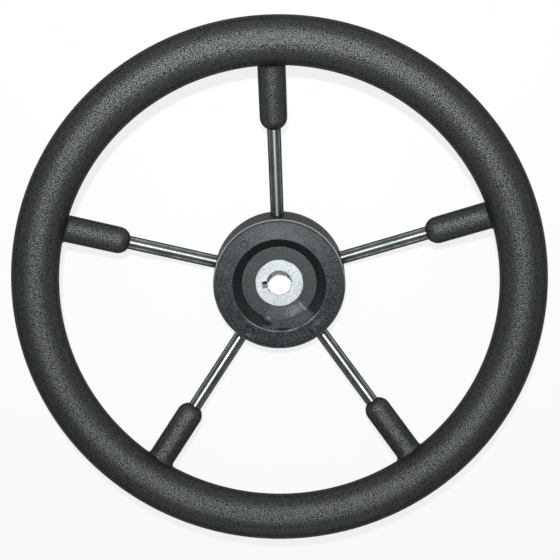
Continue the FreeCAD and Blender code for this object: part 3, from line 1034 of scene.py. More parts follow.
@dataclass(frozen=True)
class SawnAluminium:
    """Aluminium bar, sawn across and bored with a reamed taper."""

    sizes: WheelSizes
    name: str = "sawn_aluminium"
    bright: str = "ecedec"
    oxide: str = "8a8f91"
    # near-black colour of the shade painted in the keyway's deep end
    near_black: str = "101010"
    grain: float = 0.8 * MM
    grain_roughness: float = 0.65
    cloud: float = 6 * MM
    cloud_roughness: float = 0.5
    dip_contrast: float = -3.0
    dip_level: float = 1.45
    dip_clouds: float = 0.5
    dip_most: float = 0.8
    relief_depth: float = 0.22 * MM
    roughness: tuple[float, float] = (0.2, 0.64)
    wear_contrast: float = 0.4
    wear_level: float = 0.75
    sawn_metal: float = 0.45
    bore_margin: float = 0.175 * MM
    keyway_shade_base: float = 0.2 * MM
    keyway_shade_top: float = 11 * MM

    def make(self) -> bpy.types.Material:
        """Build the material.

        Returns:
            The material.
        """
        # The saw tore a coarse grain into the end, which is pale and dull, and grey with oxide in
        # its dips. The reamer left the bore smooth, so it mirrors what is round it. The keyway's
        # deep end is painted near black, as shade.
        material, tree, shader = new_material(self.name)
        place = add_node(tree, "ShaderNodeTexCoord").outputs["Object"]
        values = about_axis(tree, place)
        for pattern, width, detail, roughness in (("grain", self.grain, 4.0, self.grain_roughness),
                                                  ("cloud", self.cloud, 3.0, self.cloud_roughness)):
            noise = add_node(tree, "ShaderNodeTexNoise", {
                "Vector": place, "Scale": 1 / width, "Detail": detail, "Roughness": roughness})
            values[pattern] = noise.outputs["Fac"]
        bore_radius = self.sizes.bore_large_radius + self.bore_margin
        work_out(tree, values, (
            ("past_taper", "MULTIPLY_ADD", "z", 0.5 / self.sizes.bore_taper, "radius"),
            ("sawn", "GREATER_THAN", "past_taper", bore_radius),
            ("dip", "MULTIPLY_ADD", "grain", self.dip_contrast, self.dip_level),
            ("dip_cloudy", "MULTIPLY_ADD", "cloud", self.dip_clouds, "dip"),
            *held("dip_held", "dip_cloudy", self.dip_most),
            ("dip_share", "MULTIPLY", "dip_held", "sawn"),
            ("worn", "MULTIPLY_ADD", "grain", self.wear_contrast, self.wear_level),
            ("rough_share", "MULTIPLY", "worn", "sawn"),
            ("height", "MULTIPLY", "grain", "sawn"),
            # painted shade in the keyway's deep end
            ("below_top", "LESS_THAN", "z", self.keyway_shade_top),
            ("above_base", "GREATER_THAN", "z", self.keyway_shade_base),
            ("deep", "MULTIPLY", "below_top", "above_base"),
            ("keyway_shade_share", "MULTIPLY", "deep", "sawn"),
            ("bare", "MULTIPLY_ADD", "sawn", self.sawn_metal - 1, 1.0),
            ("metal", "MULTIPLY_ADD", "keyway_shade_share", -self.sawn_metal, "bare"),
        ))
        finish_surface(tree, shader, values,
                       (self.bright, ("dip_share", self.oxide), ("keyway_shade_share", self.near_black)),
                       ("rough_share", *self.roughness), Relief("height", self.relief_depth))
        tree.links.new(values["metal"], shader.inputs["Metallic"])
        return material


# Foam grip

@dataclass(frozen=True)
class FoamGrip:
    """The moulded ring with its five sleeves, as one skin that follows a distance rule."""

    sizes: WheelSizes
    sleeve_radius: float = 9.0 * MM
    sleeve_reach: float = 54.4 * MM
    sleeve_nose: float = 7.2 * MM
    nose_radius: float = 8.37 * MM
    crease: float = 2.0 * MM
    crease_least: float = 0.05
    voxel: float = 1.4 * MM
    slope_step: float = 0.2 * MM
    margin: float = 3 * MM
    relax_steps: int = 3

    SHAPE_INPUTS = ("Ring radius", "Ring height", "Grip radius", "Spoke count", "First spoke",
                    "Axis height", "Dish", "Sleeve radius", "Sleeve tip", "Sleeve end", "Nose",
                    "Nose radius", "Crease")

    def shape_values(self) -> dict[str, float]:
        """Work out the values of the shape's named inputs.

        Returns:
            The values by name.
        """
        sizes = self.sizes
        tip_radius = sizes.ring_radius - self.sleeve_reach
        values = (sizes.ring_radius, sizes.ring_height, sizes.grip_radius, float(sizes.spoke_count),
                  sizes.first_spoke, sizes.spoke_axis_at_ring, sizes.spoke_dish, self.sleeve_radius,
                  (tip_radius - sizes.ring_radius) / math.cos(sizes.spoke_dish),
                  (sizes.ring_height - sizes.spoke_axis_at_ring) * math.sin(sizes.spoke_dish),
                  self.sleeve_nose, self.nose_radius, self.crease)
        return dict(zip(self.SHAPE_INPUTS, values))

    def distance_tree(self) -> bpy.types.NodeTree:
        """Build the group that gives a point's distance from the skin.

        Returns:
            The group: its Distance is below zero inside the foam.
        """
        inputs = {"Place": "Vector"} | {label: "Float" for label in self.SHAPE_INPUTS}
        tree, given, sink = new_group("Distance from the foam skin", inputs, {"Distance": "Float"})
        values = given | about_axis(tree, given["Place"])
        work_out(tree, values, (
            # the nearest spoke's own frame: side, out along the spoke's bearing, and height
            ("turned", "SUBTRACT", "bearing", "First spoke"),
            ("sector", "DIVIDE", FULL_TURN, "Spoke count"),
            ("turns", "DIVIDE", "turned", "sector"),
            ("nearest", "ROUND", "turns"),
            ("whole", "MULTIPLY", "nearest", "sector"),
            ("off", "SUBTRACT", "turned", "whole"),
            ("off_sine", "SINE", "off"),
            ("off_cosine", "COSINE", "off"),
            ("side", "MULTIPLY", "radius", "off_sine"),
            ("out", "MULTIPLY", "radius", "off_cosine"),
            # the ring
            ("ring_out", "SUBTRACT", "radius", "Ring radius"),
            ("ring_up", "SUBTRACT", "z", "Ring height"),
            ("ring_out_square", "MULTIPLY", "ring_out", "ring_out"),
            ("ring_square", "MULTIPLY_ADD", "ring_up", "ring_up", "ring_out_square"),
            ("ring_gap", "SQRT", "ring_square"),
            ("ring", "SUBTRACT", "ring_gap", "Grip radius"),
            # the sleeve: along its axis, across it towards the front, and away from it
            ("dish_sine", "SINE", "Dish"),
            ("dish_cosine", "COSINE", "Dish"),
            ("axis_out", "SUBTRACT", "out", "Ring radius"),
            ("axis_up", "SUBTRACT", "z", "Axis height"),
            ("rise", "MULTIPLY", "axis_up", "dish_sine"),
            ("along", "MULTIPLY_ADD", "axis_out", "dish_cosine", "rise"),
            ("lean", "MULTIPLY", "axis_out", "dish_sine"),
            ("stand", "MULTIPLY", "axis_up", "dish_cosine"),
            ("across", "SUBTRACT", "stand", "lean"),
            ("side_square", "MULTIPLY", "side", "side"),
            ("away_square", "MULTIPLY_ADD", "across", "across", "side_square"),
            ("away", "SQRT", "away_square"),
            ("nose_start", "ADD", "Sleeve tip", "Nose"),
            ("before_nose", "SUBTRACT", "along", "nose_start"),
            ("past", "MINIMUM", "before_nose", 0.0),
            ("nose_middle", "SUBTRACT", "Sleeve radius", "Nose radius"),
            ("nose_away", "SUBTRACT", "away", "nose_middle"),
            ("nose_away_square", "MULTIPLY", "nose_away", "nose_away"),
            ("nose_square", "MULTIPLY_ADD", "past", "past", "nose_away_square"),
            ("nose_gap", "SQRT", "nose_square"),
            ("sleeve_side", "SUBTRACT", "nose_gap", "Nose radius"),
            ("sleeve_end", "SUBTRACT", "along", "Sleeve end"),
            ("sleeve", "MAXIMUM", "sleeve_side", "sleeve_end"),
            # how far the two surfaces face the same way: the crease closes up where they run together
            ("lean_out", "MULTIPLY", "across", "dish_sine"),
            ("side_part", "MULTIPLY", "side", "off_sine"),
            ("out_part", "MULTIPLY", "lean_out", "off_cosine"),
            ("flat_part", "SUBTRACT", "side_part", "out_part"),
            ("flat_match", "MULTIPLY", "flat_part", "ring_out"),
            ("up_part", "MULTIPLY", "across", "dish_cosine"),
            ("match_sum", "MULTIPLY_ADD", "up_part", "ring_up", "flat_match"),
            ("gaps", "MULTIPLY", "ring_gap", "away"),
            ("gaps_safe", "MAXIMUM", "gaps", TINY),
            ("match", "DIVIDE", "match_sum", "gaps_safe"),
            ("match_kept", "MAXIMUM", "match", 0.0),
            ("open", "SUBTRACT", 1.0, "match_kept"),
            ("open_kept", "MAXIMUM", "open", self.crease_least),
            ("blend", "MULTIPLY", "Crease", "open_kept"),
            # a round fillet between ring and sleeve
            ("ring_left", "SUBTRACT", "blend", "ring"),
            ("ring_share", "MAXIMUM", "ring_left", 0.0),
            ("sleeve_left", "SUBTRACT", "blend", "sleeve"),
            ("sleeve_share", "MAXIMUM", "sleeve_left", 0.0),
            ("ring_share_square", "MULTIPLY", "ring_share", "ring_share"),
            ("share_square", "MULTIPLY_ADD", "sleeve_share", "sleeve_share", "ring_share_square"),
            ("share", "SQRT", "share_square"),
            ("nearer", "MINIMUM", "ring", "sleeve"),
            ("base", "MAXIMUM", "nearer", "blend"),
            ("distance", "SUBTRACT", "base", "share"),
        ))
        tree.links.new(values["distance"], sink.inputs["Distance"])
        return tree

    def skin_tree(self) -> bpy.types.NodeTree:
        """Build the tree that meshes the skin and pulls each point onto the rule.

        Returns:
            The tree, whose inputs are the shape's sizes, the voxel and the material.
        """
        rule = self.distance_tree()
        inputs = {label: "Float" for label in self.SHAPE_INPUTS}
        inputs |= {"Voxel": "Float", "Lowest": "Vector", "Highest": "Vector", "Material": "Material"}
        tree, given, sink = new_group("Foam grip", inputs, {"Geometry": "Geometry"})
        shape = {label: given[label] for label in self.SHAPE_INPUTS}

        def distance(place: bpy.types.NodeSocket) -> bpy.types.NodeSocket:
            """Return the rule's distance at a place."""
            inputs = shape | {"Place": place}
            return add_node(tree, "GeometryNodeGroup", inputs, node_tree=rule).outputs[0]

        span = add_node(tree, "ShaderNodeVectorMath", {0: given["Highest"], 1: given["Lowest"]},
                        operation="SUBTRACT")
        cells = add_node(tree, "ShaderNodeSeparateXYZ", {0: span.outputs[0]})
        counts = [add_node(tree, "ShaderNodeMath", {0: side, 1: given["Voxel"]}, operation="DIVIDE")
                  for side in cells.outputs]
        place = add_node(tree, "GeometryNodeInputPosition").outputs[0]
        depth = add_node(tree, "ShaderNodeMath", {0: distance(place), 1: -1.0}, operation="MULTIPLY")
        volume = add_node(tree, "GeometryNodeVolumeCube", {
            "Density": depth.outputs[0], "Background": -1.0,
            "Min": given["Lowest"], "Max": given["Highest"],
            "Resolution X": counts[0].outputs[0], "Resolution Y": counts[1].outputs[0],
            "Resolution Z": counts[2].outputs[0]})
        skin = add_node(tree, "GeometryNodeVolumeToMesh", {"Volume": volume.outputs[0], "Threshold": 0.0},
                        resolution_mode="GRID").outputs[0]
        blur = add_node(tree, "GeometryNodeBlurAttribute", {"Value": place, "Iterations": self.relax_steps},
                        data_type="FLOAT_VECTOR")
        relaxed = live_socket(blur.outputs, "Value")
        pulled = self.pulled_place(tree, place, distance)
        # pull the points onto the rule, even out their spacing, and pull them back on
        for target in (pulled, relaxed, pulled, pulled):
            moved = add_node(tree, "GeometryNodeSetPosition", {"Geometry": skin, "Position": target})
            skin = moved.outputs[0]
        solid = add_node(tree, "GeometryNodeRealizeInstances", {0: skin})
        dressed = add_node(tree, "GeometryNodeSetMaterial", {
            "Geometry": solid.outputs[0], "Material": given["Material"]})
        tree.links.new(dressed.outputs[0], sink.inputs["Geometry"])
        return tree

    def pulled_place(self, tree: bpy.types.NodeTree, place: bpy.types.NodeSocket,
                     distance: Callable) -> bpy.types.NodeSocket:
        """Add one step that moves a point along the rule's slope onto the skin.

        Args:
            tree: The tree that the nodes go into.
            place: The point's position.
            distance: A function that adds the rule at a place.

        Returns:
            The socket of the new position.
        """
        slopes = []
        for axis in range(3):
            step = [self.slope_step if other == axis else 0.0 for other in range(3)]
            ahead, behind = (add_node(tree, "ShaderNodeVectorMath", {0: place, 1: step}, operation=way)
                             for way in ("ADD", "SUBTRACT"))
            change = add_node(tree, "ShaderNodeMath", {
                0: distance(ahead.outputs[0]), 1: distance(behind.outputs[0])}, operation="SUBTRACT")
            slopes.append(change.outputs[0])
        slope = add_node(tree, "ShaderNodeCombineXYZ", dict(enumerate(slopes)))
        outwards = add_node(tree, "ShaderNodeVectorMath", {0: slope.outputs[0]}, operation="NORMALIZE")
        shift = add_node(tree, "ShaderNodeVectorMath", {0: outwards.outputs[0], "Scale": distance(place)},
                         operation="SCALE")
        pulled = add_node(tree, "ShaderNodeVectorMath", {0: place, 1: shift.outputs[0]},
                          operation="SUBTRACT")
        return pulled.outputs[0]

    def build(self) -> bpy.types.Object:
        """Build the grip.

        Returns:
            The grip.
        """
        low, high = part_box("grip")
        margin = Vector((self.margin,) * 3)
        values = self.shape_values() | {
            "Voxel": self.voxel, "Lowest": low - margin, "Highest": high + margin,
            "Material": FoamSkin().make()}
        piece = grow_from_tree("foam_grip", self.skin_tree(), values)
        finish_piece(piece, Slot.GRIP, ("grip",))
        return piece


# Spokes

@dataclass(frozen=True)
class SpokeBars:
    """Five straight round bars, from the hub's sockets to the steel ring in the foam."""

    sizes: WheelSizes
    stop: float = 5.6 * MM
    sides: int = 96
    lengths: int = 60

    def bars_tree(self) -> bpy.types.NodeTree:
        """Build the tree that turns one bar and repeats it round the axis.

        Returns:
            The tree, whose inputs are the bar's sizes and place, the count and the material.
        """
        inputs = {label: "Float" for label in (
            "Radius", "Inner end", "Outer end", "Dish", "Ring radius", "Axis height", "First spoke")}
        inputs |= {"Count": "Int", "Material": "Material"}
        tree, given, sink = new_group("Spoke bars", inputs, {"Geometry": "Geometry"})
        values = work_out(tree, dict(given), (
            ("length", "SUBTRACT", "Outer end", "Inner end"),
            ("ends", "ADD", "Outer end", "Inner end"),
            ("middle", "MULTIPLY", "ends", 0.5),
            ("upright", "SUBTRACT", math.pi / 2, "Dish"),
            ("step", "DIVIDE", FULL_TURN, "Count"),
        ))
        bar = add_node(tree, "GeometryNodeMeshCylinder", {
            "Vertices": self.sides, "Side Segments": self.lengths, "Radius": given["Radius"],
            "Depth": values["length"]}).outputs["Mesh"]
        place = add_node(tree, "GeometryNodeInputPosition").outputs[0]
        marked = add_node(tree, "GeometryNodeStoreNamedAttribute", {
            "Geometry": bar, "Name": PolishedSteel.place_name, "Value": place},
            data_type="FLOAT_VECTOR", domain="POINT")
        shift = add_node(tree, "ShaderNodeCombineXYZ", {2: values["middle"]})
        shifted = add_node(tree, "GeometryNodeTransform", {
            "Geometry": marked.outputs[0], "Translation": shift.outputs[0]})
        turn = add_node(tree, "ShaderNodeCombineXYZ", {1: values["upright"]})
        seat = add_node(tree, "ShaderNodeCombineXYZ", {0: given["Ring radius"], 2: given["Axis height"]})
        seated = add_node(tree, "GeometryNodeTransform", {
            "Geometry": shifted.outputs[0], "Translation": seat.outputs[0], "Rotation": turn.outputs[0]})
        hubs = add_node(tree, "GeometryNodePoints", {"Count": given["Count"]})
        number = add_node(tree, "GeometryNodeInputIndex").outputs[0]
        bearing = add_node(tree, "ShaderNodeMath", {0: number, 1: values["step"], 2: given["First spoke"]},
                           operation="MULTIPLY_ADD")
        facing = add_node(tree, "ShaderNodeCombineXYZ", {2: bearing.outputs[0]})
        bars = add_node(tree, "GeometryNodeInstanceOnPoints", {
            "Points": hubs.outputs[0], "Instance": seated.outputs[0], "Rotation": facing.outputs[0]})
        solid = add_node(tree, "GeometryNodeRealizeInstances", {0: bars.outputs[0]})
        directed = self.mark_axis(tree, solid.outputs[0], place, given)
        dressed = add_node(tree, "GeometryNodeSetMaterial", {
            "Geometry": directed, "Material": given["Material"]})
        tree.links.new(dressed.outputs[0], sink.inputs["Geometry"])
        return tree

    def mark_axis(self, tree: bpy.types.NodeTree, bars: bpy.types.NodeSocket, place: bpy.types.NodeSocket,
                  given: dict) -> bpy.types.NodeSocket:
        """Store each bar's direction on its points, for the gloss that its grinding stretches.

        Args:
            tree: The tree that the nodes go into.
            bars: The bars' geometry.
            place: The points' positions.
            given: The tree's inputs by name.

        Returns:
            The geometry with the direction stored.
        """
        values = work_out(tree, given | about_axis(tree, place), (
            ("turned", "SUBTRACT", "bearing", "First spoke"),
            ("step", "DIVIDE", FULL_TURN, "Count"),
            ("turns", "DIVIDE", "turned", "step"),
            ("nearest", "ROUND", "turns"),
            ("direction", "MULTIPLY_ADD", "nearest", "step", "First spoke"),
            ("run", "COSINE", "Dish"),
            ("rise", "SINE", "Dish"),
            ("out_x", "COSINE", "direction"),
            ("out_y", "SINE", "direction"),
            ("axis_x", "MULTIPLY", "out_x", "run"),
            ("axis_y", "MULTIPLY", "out_y", "run"),
        ))
        axis = add_node(tree, "ShaderNodeCombineXYZ", {
            0: values["axis_x"], 1: values["axis_y"], 2: values["rise"]})
        marked = add_node(tree, "GeometryNodeStoreNamedAttribute", {
            "Geometry": bars, "Name": PolishedSteel.axis_name, "Value": axis.outputs[0]},
            data_type="FLOAT_VECTOR", domain="POINT")
        return marked.outputs[0]

    def build(self) -> bpy.types.Object:
        """Build the bars as one piece.

        Returns:
            The bars.
        """
        sizes = self.sizes
        inner_radius = sizes.insert_radius + self.stop
        values = {
            "Radius": sizes.spoke_radius,
            "Inner end": (inner_radius - sizes.ring_radius) / math.cos(sizes.spoke_dish),
            "Outer end": 0.0,  # at the centreline of the steel ring that they are welded to
            "Dish": sizes.spoke_dish,
            "Ring radius": sizes.ring_radius,
            "Axis height": sizes.spoke_axis_at_ring,
            "Count": sizes.spoke_count,
            "First spoke": sizes.first_spoke,
            "Material": PolishedSteel().make(),
        }
        piece = grow_from_tree("spoke_bars", self.bars_tree(), values)
        finish_piece(piece, Slot.SPOKE, sizes.spoke_nodes())
        return piece


# Hub moulding

@dataclass(frozen=True)
class HubMoulding:
    """The nylon hub: lip, groove, sloping face, recess, and relief pockets in its rear."""

    sizes: WheelSizes
    segments: int = 720
    arc_steps: int = 4
    side_cuts: int = 10
    face_cuts: int = 34
    recess_cuts: int = 14
    seat_cuts: int = 3
    rear_round: float = 2.6 * MM
    lip_round: float = 0.4 * MM
    groove_depth: float = 1.2 * MM
    face_step: float = 0.2 * MM
    edge_round: float = 0.7 * MM
    mark_tolerance: float = 0.01 * MM
    mark_border: float = 1.5 * MM
    wall: float = 4.0 * MM
    boss_wall: float = 4.5 * MM
    spoke_cover: float = 3.5 * MM
    pocket_roof: float = 7.0 * MM
    pocket_round: float = 2.0 * MM
    pocket_outer_steps: int = 24
    pocket_inner_steps: int = 16
    pocket_corner_steps: int = 6
    sharp_half_angle: float = math.radians(75)
    marks: tuple[PinMark, ...] = (
        PinMark(36.7 * MM, 127.6, 4.4 * MM),
        PinMark(37.5 * MM, -18.9, 4.6 * MM),
        PinMark(37.8 * MM, -124.7, 6.8 * MM),
        PinMark(40.0 * MM, -53.0, 6.6 * MM),
    )

    def profile(self) -> list[tuple[float, float, bool]]:
        """Work out the moulding's section.

        Returns:
            The section's points.
        """
        sizes = self.sizes
        lip_inside = sizes.lip_inside
        face_edge = lip_inside - sizes.hub_groove_width
        lip = sizes.hub_lip_height
        groove = lip - self.groove_depth
        floor = sizes.recess_floor_height
        mouth = sizes.recess_mouth_height
        bar = sizes.insert_radius
        corners = [
            Corner(bar, 0.0, follows_bar=True),
            Corner(sizes.hub_radius, 0.0, self.rear_round, self.side_cuts),
            Corner(sizes.hub_front_radius, lip, self.lip_round),
            Corner(lip_inside, lip, self.lip_round),
            Corner(lip_inside, groove),
            Corner(face_edge, groove),
            Corner(face_edge, lip - self.face_step, cuts=self.face_cuts),
            Corner(sizes.recess_mouth_radius, mouth, self.edge_round, self.recess_cuts),
            Corner(sizes.recess_floor_radius, floor, cuts=self.recess_cuts),
            Corner(bar, floor, cuts=self.seat_cuts, follows_bar=True),
            Corner(bar, sizes.insert_length, cuts=self.seat_cuts, follows_bar=True),
        ]
        return rounded_profile(corners, self.arc_steps)

    def press_marks(self, mesh: bpy.types.Mesh) -> None:
        """Press the pins' marks into the sloping face.

        Args:
            mesh: The hub's turned form.
        """
        sizes = self.sizes
        places = np.empty(len(mesh.vertices) * 3, np.float32)
        mesh.vertices.foreach_get("co", places)
        places = places.reshape(-1, 3)
        radius = np.hypot(places[:, 0], places[:, 1])
        on_face = places[:, 2] > sizes.hub_lip_height - self.face_step - self.mark_tolerance
        on_face &= radius > sizes.recess_mouth_radius
        on_face &= radius < sizes.hub_front_radius - self.mark_border
        for mark in self.marks:
            places[:, 2] += np.where(on_face, mark.relief(places), 0)
        mesh.vertices.foreach_set("co", places.ravel())
        mesh.update()

    def pocket_cutter(self) -> bpy.types.Object:
        """Build the prism that cuts the first relief pocket.

        Returns:
            The prism.
        """
        sizes = self.sizes
        boss = sizes.insert_radius + self.boss_wall
        wall = sizes.hub_radius - self.wall
        rib = sizes.spoke_radius + self.spoke_cover
        step = FULL_TURN / sizes.spoke_count
        inner_start = math.asin(rib / boss)
        outer_start = math.asin(rib / wall)
        outline = self.arc_points(wall, outer_start, step - outer_start, self.pocket_outer_steps)
        outline += reversed(self.arc_points(boss, inner_start, step - inner_start, self.pocket_inner_steps))
        outline = self.round_outline(outline)
        roof = sizes.recess_floor_height - self.pocket_roof
        return prism_cutter("pocket_cutter", outline, -self.wall, roof, sizes.first_spoke)

    @staticmethod
    def arc_points(radius: float, start: float, finish: float, steps: int) -> list[Vector]:
        """Return points on an arc about the axis."""
        angles = [start + (finish - start) * i / steps for i in range(steps + 1)]
        return [Vector((radius * math.cos(angle), radius * math.sin(angle))) for angle in angles]

    def round_outline(self, outline: list[Vector]) -> list[Vector]:
        """Round an outline's sharp corners.

        The points stay Vectors, in the single precision of a mesh. With points worked out more
        finely, the cut can leave one edge of a flat face with four triangles on it.

        Args:
            outline: The outline's points, in order.

        Returns:
            The outline with an arc in place of each sharp corner.
        """
        rounded = []
        for number, here in enumerate(outline):
            back = (outline[number - 1] - here).normalized()
            onwards = (outline[(number + 1) % len(outline)] - here).normalized()
            bend = Bend(here, back, onwards, (back + onwards).normalized(), back.angle(onwards) / 2)
            if bend.half_angle < self.sharp_half_angle:
                rounded += bend.arc(self.pocket_round, self.pocket_corner_steps)
            else:
                rounded.append(here)
        return rounded

    def pockets_tree(self) -> bpy.types.NodeTree:
        """Build the tree that repeats the cutter round the axis and cuts the moulding with it.

        Returns:
            The tree, whose inputs are the moulding, the cutter, the count and the material.
        """
        inputs = {"Geometry": "Geometry", "Cutter": "Object", "Count": "Int", "Material": "Material"}
        tree, given, sink = new_group("Rear relief pockets", inputs, {"Geometry": "Geometry"})
        cutter = add_node(tree, "GeometryNodeObjectInfo", {"Object": given["Cutter"]})
        step = add_node(tree, "ShaderNodeMath", {0: FULL_TURN, 1: given["Count"]}, operation="DIVIDE")
        number = add_node(tree, "GeometryNodeInputIndex").outputs[0]
        bearing = add_node(tree, "ShaderNodeMath", {0: number, 1: step.outputs[0]}, operation="MULTIPLY")
        facing = add_node(tree, "ShaderNodeCombineXYZ", {2: bearing.outputs[0]})
        points = add_node(tree, "GeometryNodePoints", {"Count": given["Count"]})
        cutters = add_node(tree, "GeometryNodeInstanceOnPoints", {
            "Points": points.outputs[0], "Instance": cutter.outputs["Geometry"],
            "Rotation": facing.outputs[0]})
        solid = add_node(tree, "GeometryNodeRealizeInstances", {0: cutters.outputs[0]})
        cut = add_node(tree, "GeometryNodeMeshBoolean", {
            "Mesh 1": given["Geometry"], "Mesh 2": solid.outputs[0]},
            operation="DIFFERENCE", solver="MANIFOLD")
        dressed = add_node(tree, "GeometryNodeSetMaterial", {
            "Geometry": cut.outputs[0], "Material": given["Material"]})
        tree.links.new(dressed.outputs[0], sink.inputs["Geometry"])
        return tree

    def build(self) -> bpy.types.Object:
        """Build the hub.

        Returns:
            The hub.
        """
        form = turned_mesh("hub_form", self.profile(), self.segments, self.sizes)
        self.press_marks(form)
        cutter = self.pocket_cutter()
        nylon = MouldedNylon(self.sizes, self.marks).make()
        values = {"Cutter": cutter, "Count": self.sizes.spoke_count, "Material": nylon}
        piece = grow_from_tree("hub_moulding", self.pockets_tree(), values, form)
        bpy.data.objects.remove(cutter)
        finish_piece(piece, Slot.HUB, ("hub",))
        return piece


# Insert

@dataclass(frozen=True)
class TaperInsert:
    """The aluminium bar in the hub, with its tapered bore and its keyway."""

    sizes: WheelSizes
    segments: int = 360
    end_cuts: int = 20
    rear_cuts: int = 6
    side_cuts: int = 8
    bore_cuts: int = 24
    rim_chamfer: float = 0.5 * MM
    bore_chamfer: float = 0.4 * MM
    keyway_width: float = 4.76 * MM
    keyway_reach: float = 11.9 * MM

    def profile(self) -> list[tuple[float, float, bool]]:
        """Work out the insert's section, which closes round the bore.

        Returns:
            The section's points.
        """
        length = self.sizes.insert_length
        outer = self.sizes.insert_radius
        large = self.sizes.bore_large_radius
        small = large - length / self.sizes.bore_taper / 2
        rim, mouth = self.rim_chamfer, self.bore_chamfer
        corners = [
            Corner(large + mouth, 0.0, cuts=self.rear_cuts),
            Corner(outer - rim, 0.0, follows_bar=True),
            Corner(outer, rim, cuts=self.side_cuts, follows_bar=True),
            Corner(outer, length - rim, follows_bar=True),
            Corner(outer - rim, length, cuts=self.end_cuts, follows_bar=True),
            Corner(small + mouth, length),
            Corner(small, length - mouth, cuts=self.bore_cuts),
            Corner(large, mouth),
        ]
        return rounded_profile(corners, 1)

    def key_cutter(self) -> bpy.types.Object:
        """Build the bar that broaches the keyway.

        Returns:
            The bar.
        """
        half = self.keyway_width / 2
        reach = self.keyway_reach
        outline = [(0, -half), (reach, -half), (reach, half), (0, half)]
        past = self.rim_chamfer
        return prism_cutter("key_cutter", outline, -past, self.sizes.insert_length + past,
                            self.sizes.keyway_direction)

    def build(self) -> bpy.types.Object:
        """Build the insert.

        Returns:
            The insert.
        """
        form = turned_mesh("taper_insert", self.profile(), self.segments, self.sizes)
        bar = mesh_object("taper_insert", form)
        cutter = self.key_cutter()
        cut = bar.modifiers.new("keyway", "BOOLEAN")
        cut.operation = "DIFFERENCE"
        cut.solver = "EXACT"
        cut.object = cutter
        graph = bpy.context.evaluated_depsgraph_get()
        mesh = bpy.data.meshes.new_from_object(bar.evaluated_get(graph))
        bar.modifiers.remove(cut)
        bar.data = mesh
        bpy.data.objects.remove(cutter)
        mesh.materials.clear()
        mesh.materials.append(SawnAluminium(self.sizes).make())
        finish_piece(bar, Slot.INSERT, ("hub_insert",))
        return bar


# Studio

@dataclass(frozen=True)
class Lamp:
    """A round panel of light: its place, the point that it faces, its width, power and tint."""

    name: str
    place: tuple[float, float, float]
    facing: tuple[float, float, float]
    width: float
    power: float
    tint: str

    def add(self) -> None:
        """Hang the panel."""
        data = bpy.data.lights.new(self.name, "AREA")
        data.shape = "DISK"
        data.size = self.width
        data.energy = self.power
        data.color = linear(self.tint)[:3]
        lamp = bpy.data.objects.new(self.name, data)
        bpy.context.scene.collection.objects.link(lamp)
        back = Vector(self.place) - Vector(self.facing)
        turn = back.to_track_quat("Z", "Y").to_matrix().to_4x4()
        lamp.matrix_world = Matrix.Translation(self.place) @ turn


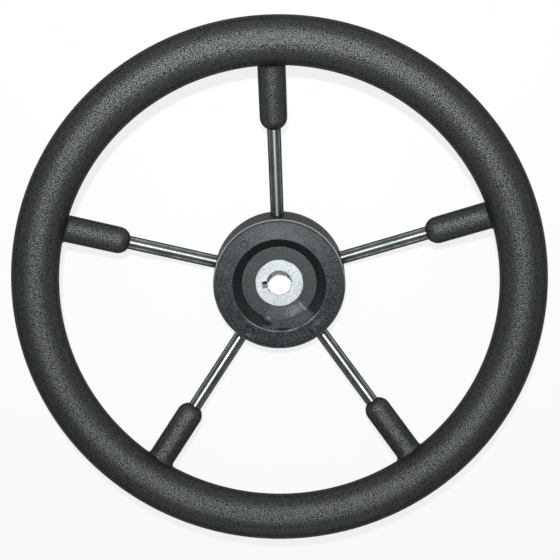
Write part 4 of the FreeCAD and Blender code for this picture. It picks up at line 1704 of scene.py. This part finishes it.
@dataclass(frozen=True)
class Studio:
    """Pale floor, soft light and the camera that looks down on the wheel."""

    floor_size: float = 60.0
    floor_drop: float = 0.05 * MM
    floor_white: str = "fbf8f7"
    floor_roughness: float = 0.9
    floor_lift: float = 0.84
    bore_view: float = 12.6 * MM
    # the eye stands 0.62 m up and leans over by 12.5 degrees, as the ring's outlines show
    camera_place: tuple[float, float, float] = (0.009544, 0.134707, 0.624756)
    camera_right: tuple[float, float, float] = (0.999421, -0.033154, -0.007660)
    camera_up: tuple[float, float, float] = (0.030711, 0.975792, -0.216535)
    lens: float = 57.67
    sensor: float = 36.0
    nearest_view: float = 0.01
    world_grey: str = "d4d9db"
    world_strength: float = 0.2
    lamps: tuple[Lamp, ...] = (
        # a small lamp beside the eye draws the highlight along the ring and the streaks on the bars
        Lamp("key", (0.0, 0.224, 0.672), (0.0, 0.22, 0.05), 0.025, 4.65, "f4fdff"),
        # a wide panel behind it fills the ring's upper side and the recess
        Lamp("soft_panel", (0.04, 1.19, 1.12), (0.0, 0.0, 0.05), 1.1, 1.5, "ffffff"),
        # a weak, low panel opposite draws the faint second streak on the bars' lower flanks
        Lamp("low_panel", (0.0, -0.95, 0.3), (0.0, 0.0, 0.04), 0.25, 0.8, "ffffff"),
    )

    def add_camera(self) -> None:
        """Set the camera where the wheel was looked at from."""
        data = bpy.data.cameras.new("camera")
        data.lens = self.lens
        data.sensor_width = self.sensor
        data.clip_start = self.nearest_view
        camera = bpy.data.objects.new("camera", data)
        bpy.context.scene.collection.objects.link(camera)
        right = Vector(self.camera_right).normalized()
        up = (Vector(self.camera_up) - right * right.dot(Vector(self.camera_up))).normalized()
        turn = Matrix((right, up, right.cross(up))).transposed()
        camera.matrix_world = Matrix.Translation(self.camera_place) @ turn.to_4x4()
        bpy.context.scene.camera = camera

    def add_lights(self) -> None:
        """Add the lamps and the dim surroundings."""
        for lamp in self.lamps:
            lamp.add()
        world = bpy.data.worlds.new("surroundings")
        bpy.context.scene.world = world
        world.use_nodes = True
        shade = world.node_tree.nodes["Background"]
        shade.inputs["Color"].default_value = linear(self.world_grey)
        shade.inputs["Strength"].default_value = self.world_strength

    def add_floor(self) -> None:
        """Lay the pale floor: it shows white and keeps the wheel's shadow, and all of it in the bore."""
        half = self.floor_size / 2
        low = -self.floor_drop
        corners = [(-half, -half, low), (half, -half, low), (half, half, low), (-half, half, low)]
        mesh = new_mesh("floor", corners, [(0, 1, 2, 3)])
        material, tree, shader = new_material("pale_floor")
        shader.inputs["Base Color"].default_value = linear(self.floor_white)
        shader.inputs["Roughness"].default_value = self.floor_roughness
        rays = add_node(tree, "ShaderNodeLightPath").outputs
        place = add_node(tree, "ShaderNodeTexCoord").outputs["Object"]
        reach = add_node(tree, "ShaderNodeVectorMath", {0: place}, operation="LENGTH")
        values = {"camera": rays["Is Camera Ray"], "glossy": rays["Is Glossy Ray"],
                  "through": rays["Is Transmission Ray"], "reach": reach.outputs["Value"]}
        work_out(tree, values, (
            ("mirrored", "MAXIMUM", "camera", "glossy"),
            ("shown", "MAXIMUM", "mirrored", "through"),
            ("outside_bore", "GREATER_THAN", "reach", self.bore_view),
            ("lifted", "MULTIPLY", "shown", "outside_bore"),
            ("lift", "MULTIPLY", "lifted", self.floor_lift),
        ))
        glow = add_node(tree, "ShaderNodeEmission", {"Color": (1.0, 1.0, 1.0, 1.0), "Strength": 1.0})
        mixed = add_node(tree, "ShaderNodeMixShader", {
            0: values["lift"], 1: shader.outputs[0], 2: glow.outputs[0]})
        tree.links.new(mixed.outputs[0], tree.nodes["Material Output"].inputs["Surface"])
        mesh.materials.append(material)
        mesh_object("floor", mesh)

    def build(self) -> None:
        """Set up the view, the lights and the floor."""
        self.add_camera()
        self.add_lights()
        self.add_floor()
        bpy.context.scene.view_settings.view_transform = "Standard"


def dress_core(nodes: dict) -> None:
    """Give the steel ring sealed in the foam its own finish.

    Args:
        nodes: The frame's nodes by name.
    """
    core = nodes["rim_core"]
    core.data.materials.clear()
    core.data.materials.append(PlainSteel().make())
    LOG.info("rim_core: dressed in place")


def main() -> None:
    """Build the wheel's pieces in order, then the studio."""
    logging.basicConfig(level=logging.INFO, format="%(name)s: %(message)s")
    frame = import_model()
    sizes = WheelSizes.from_frame(frame["nodes"])
    FoamGrip(sizes).build()
    SpokeBars(sizes).build()
    HubMoulding(sizes).build()
    TaperInsert(sizes).build()
    dress_core(frame["nodes"])
    Studio().build()


if __name__ == "__main__":
    main()
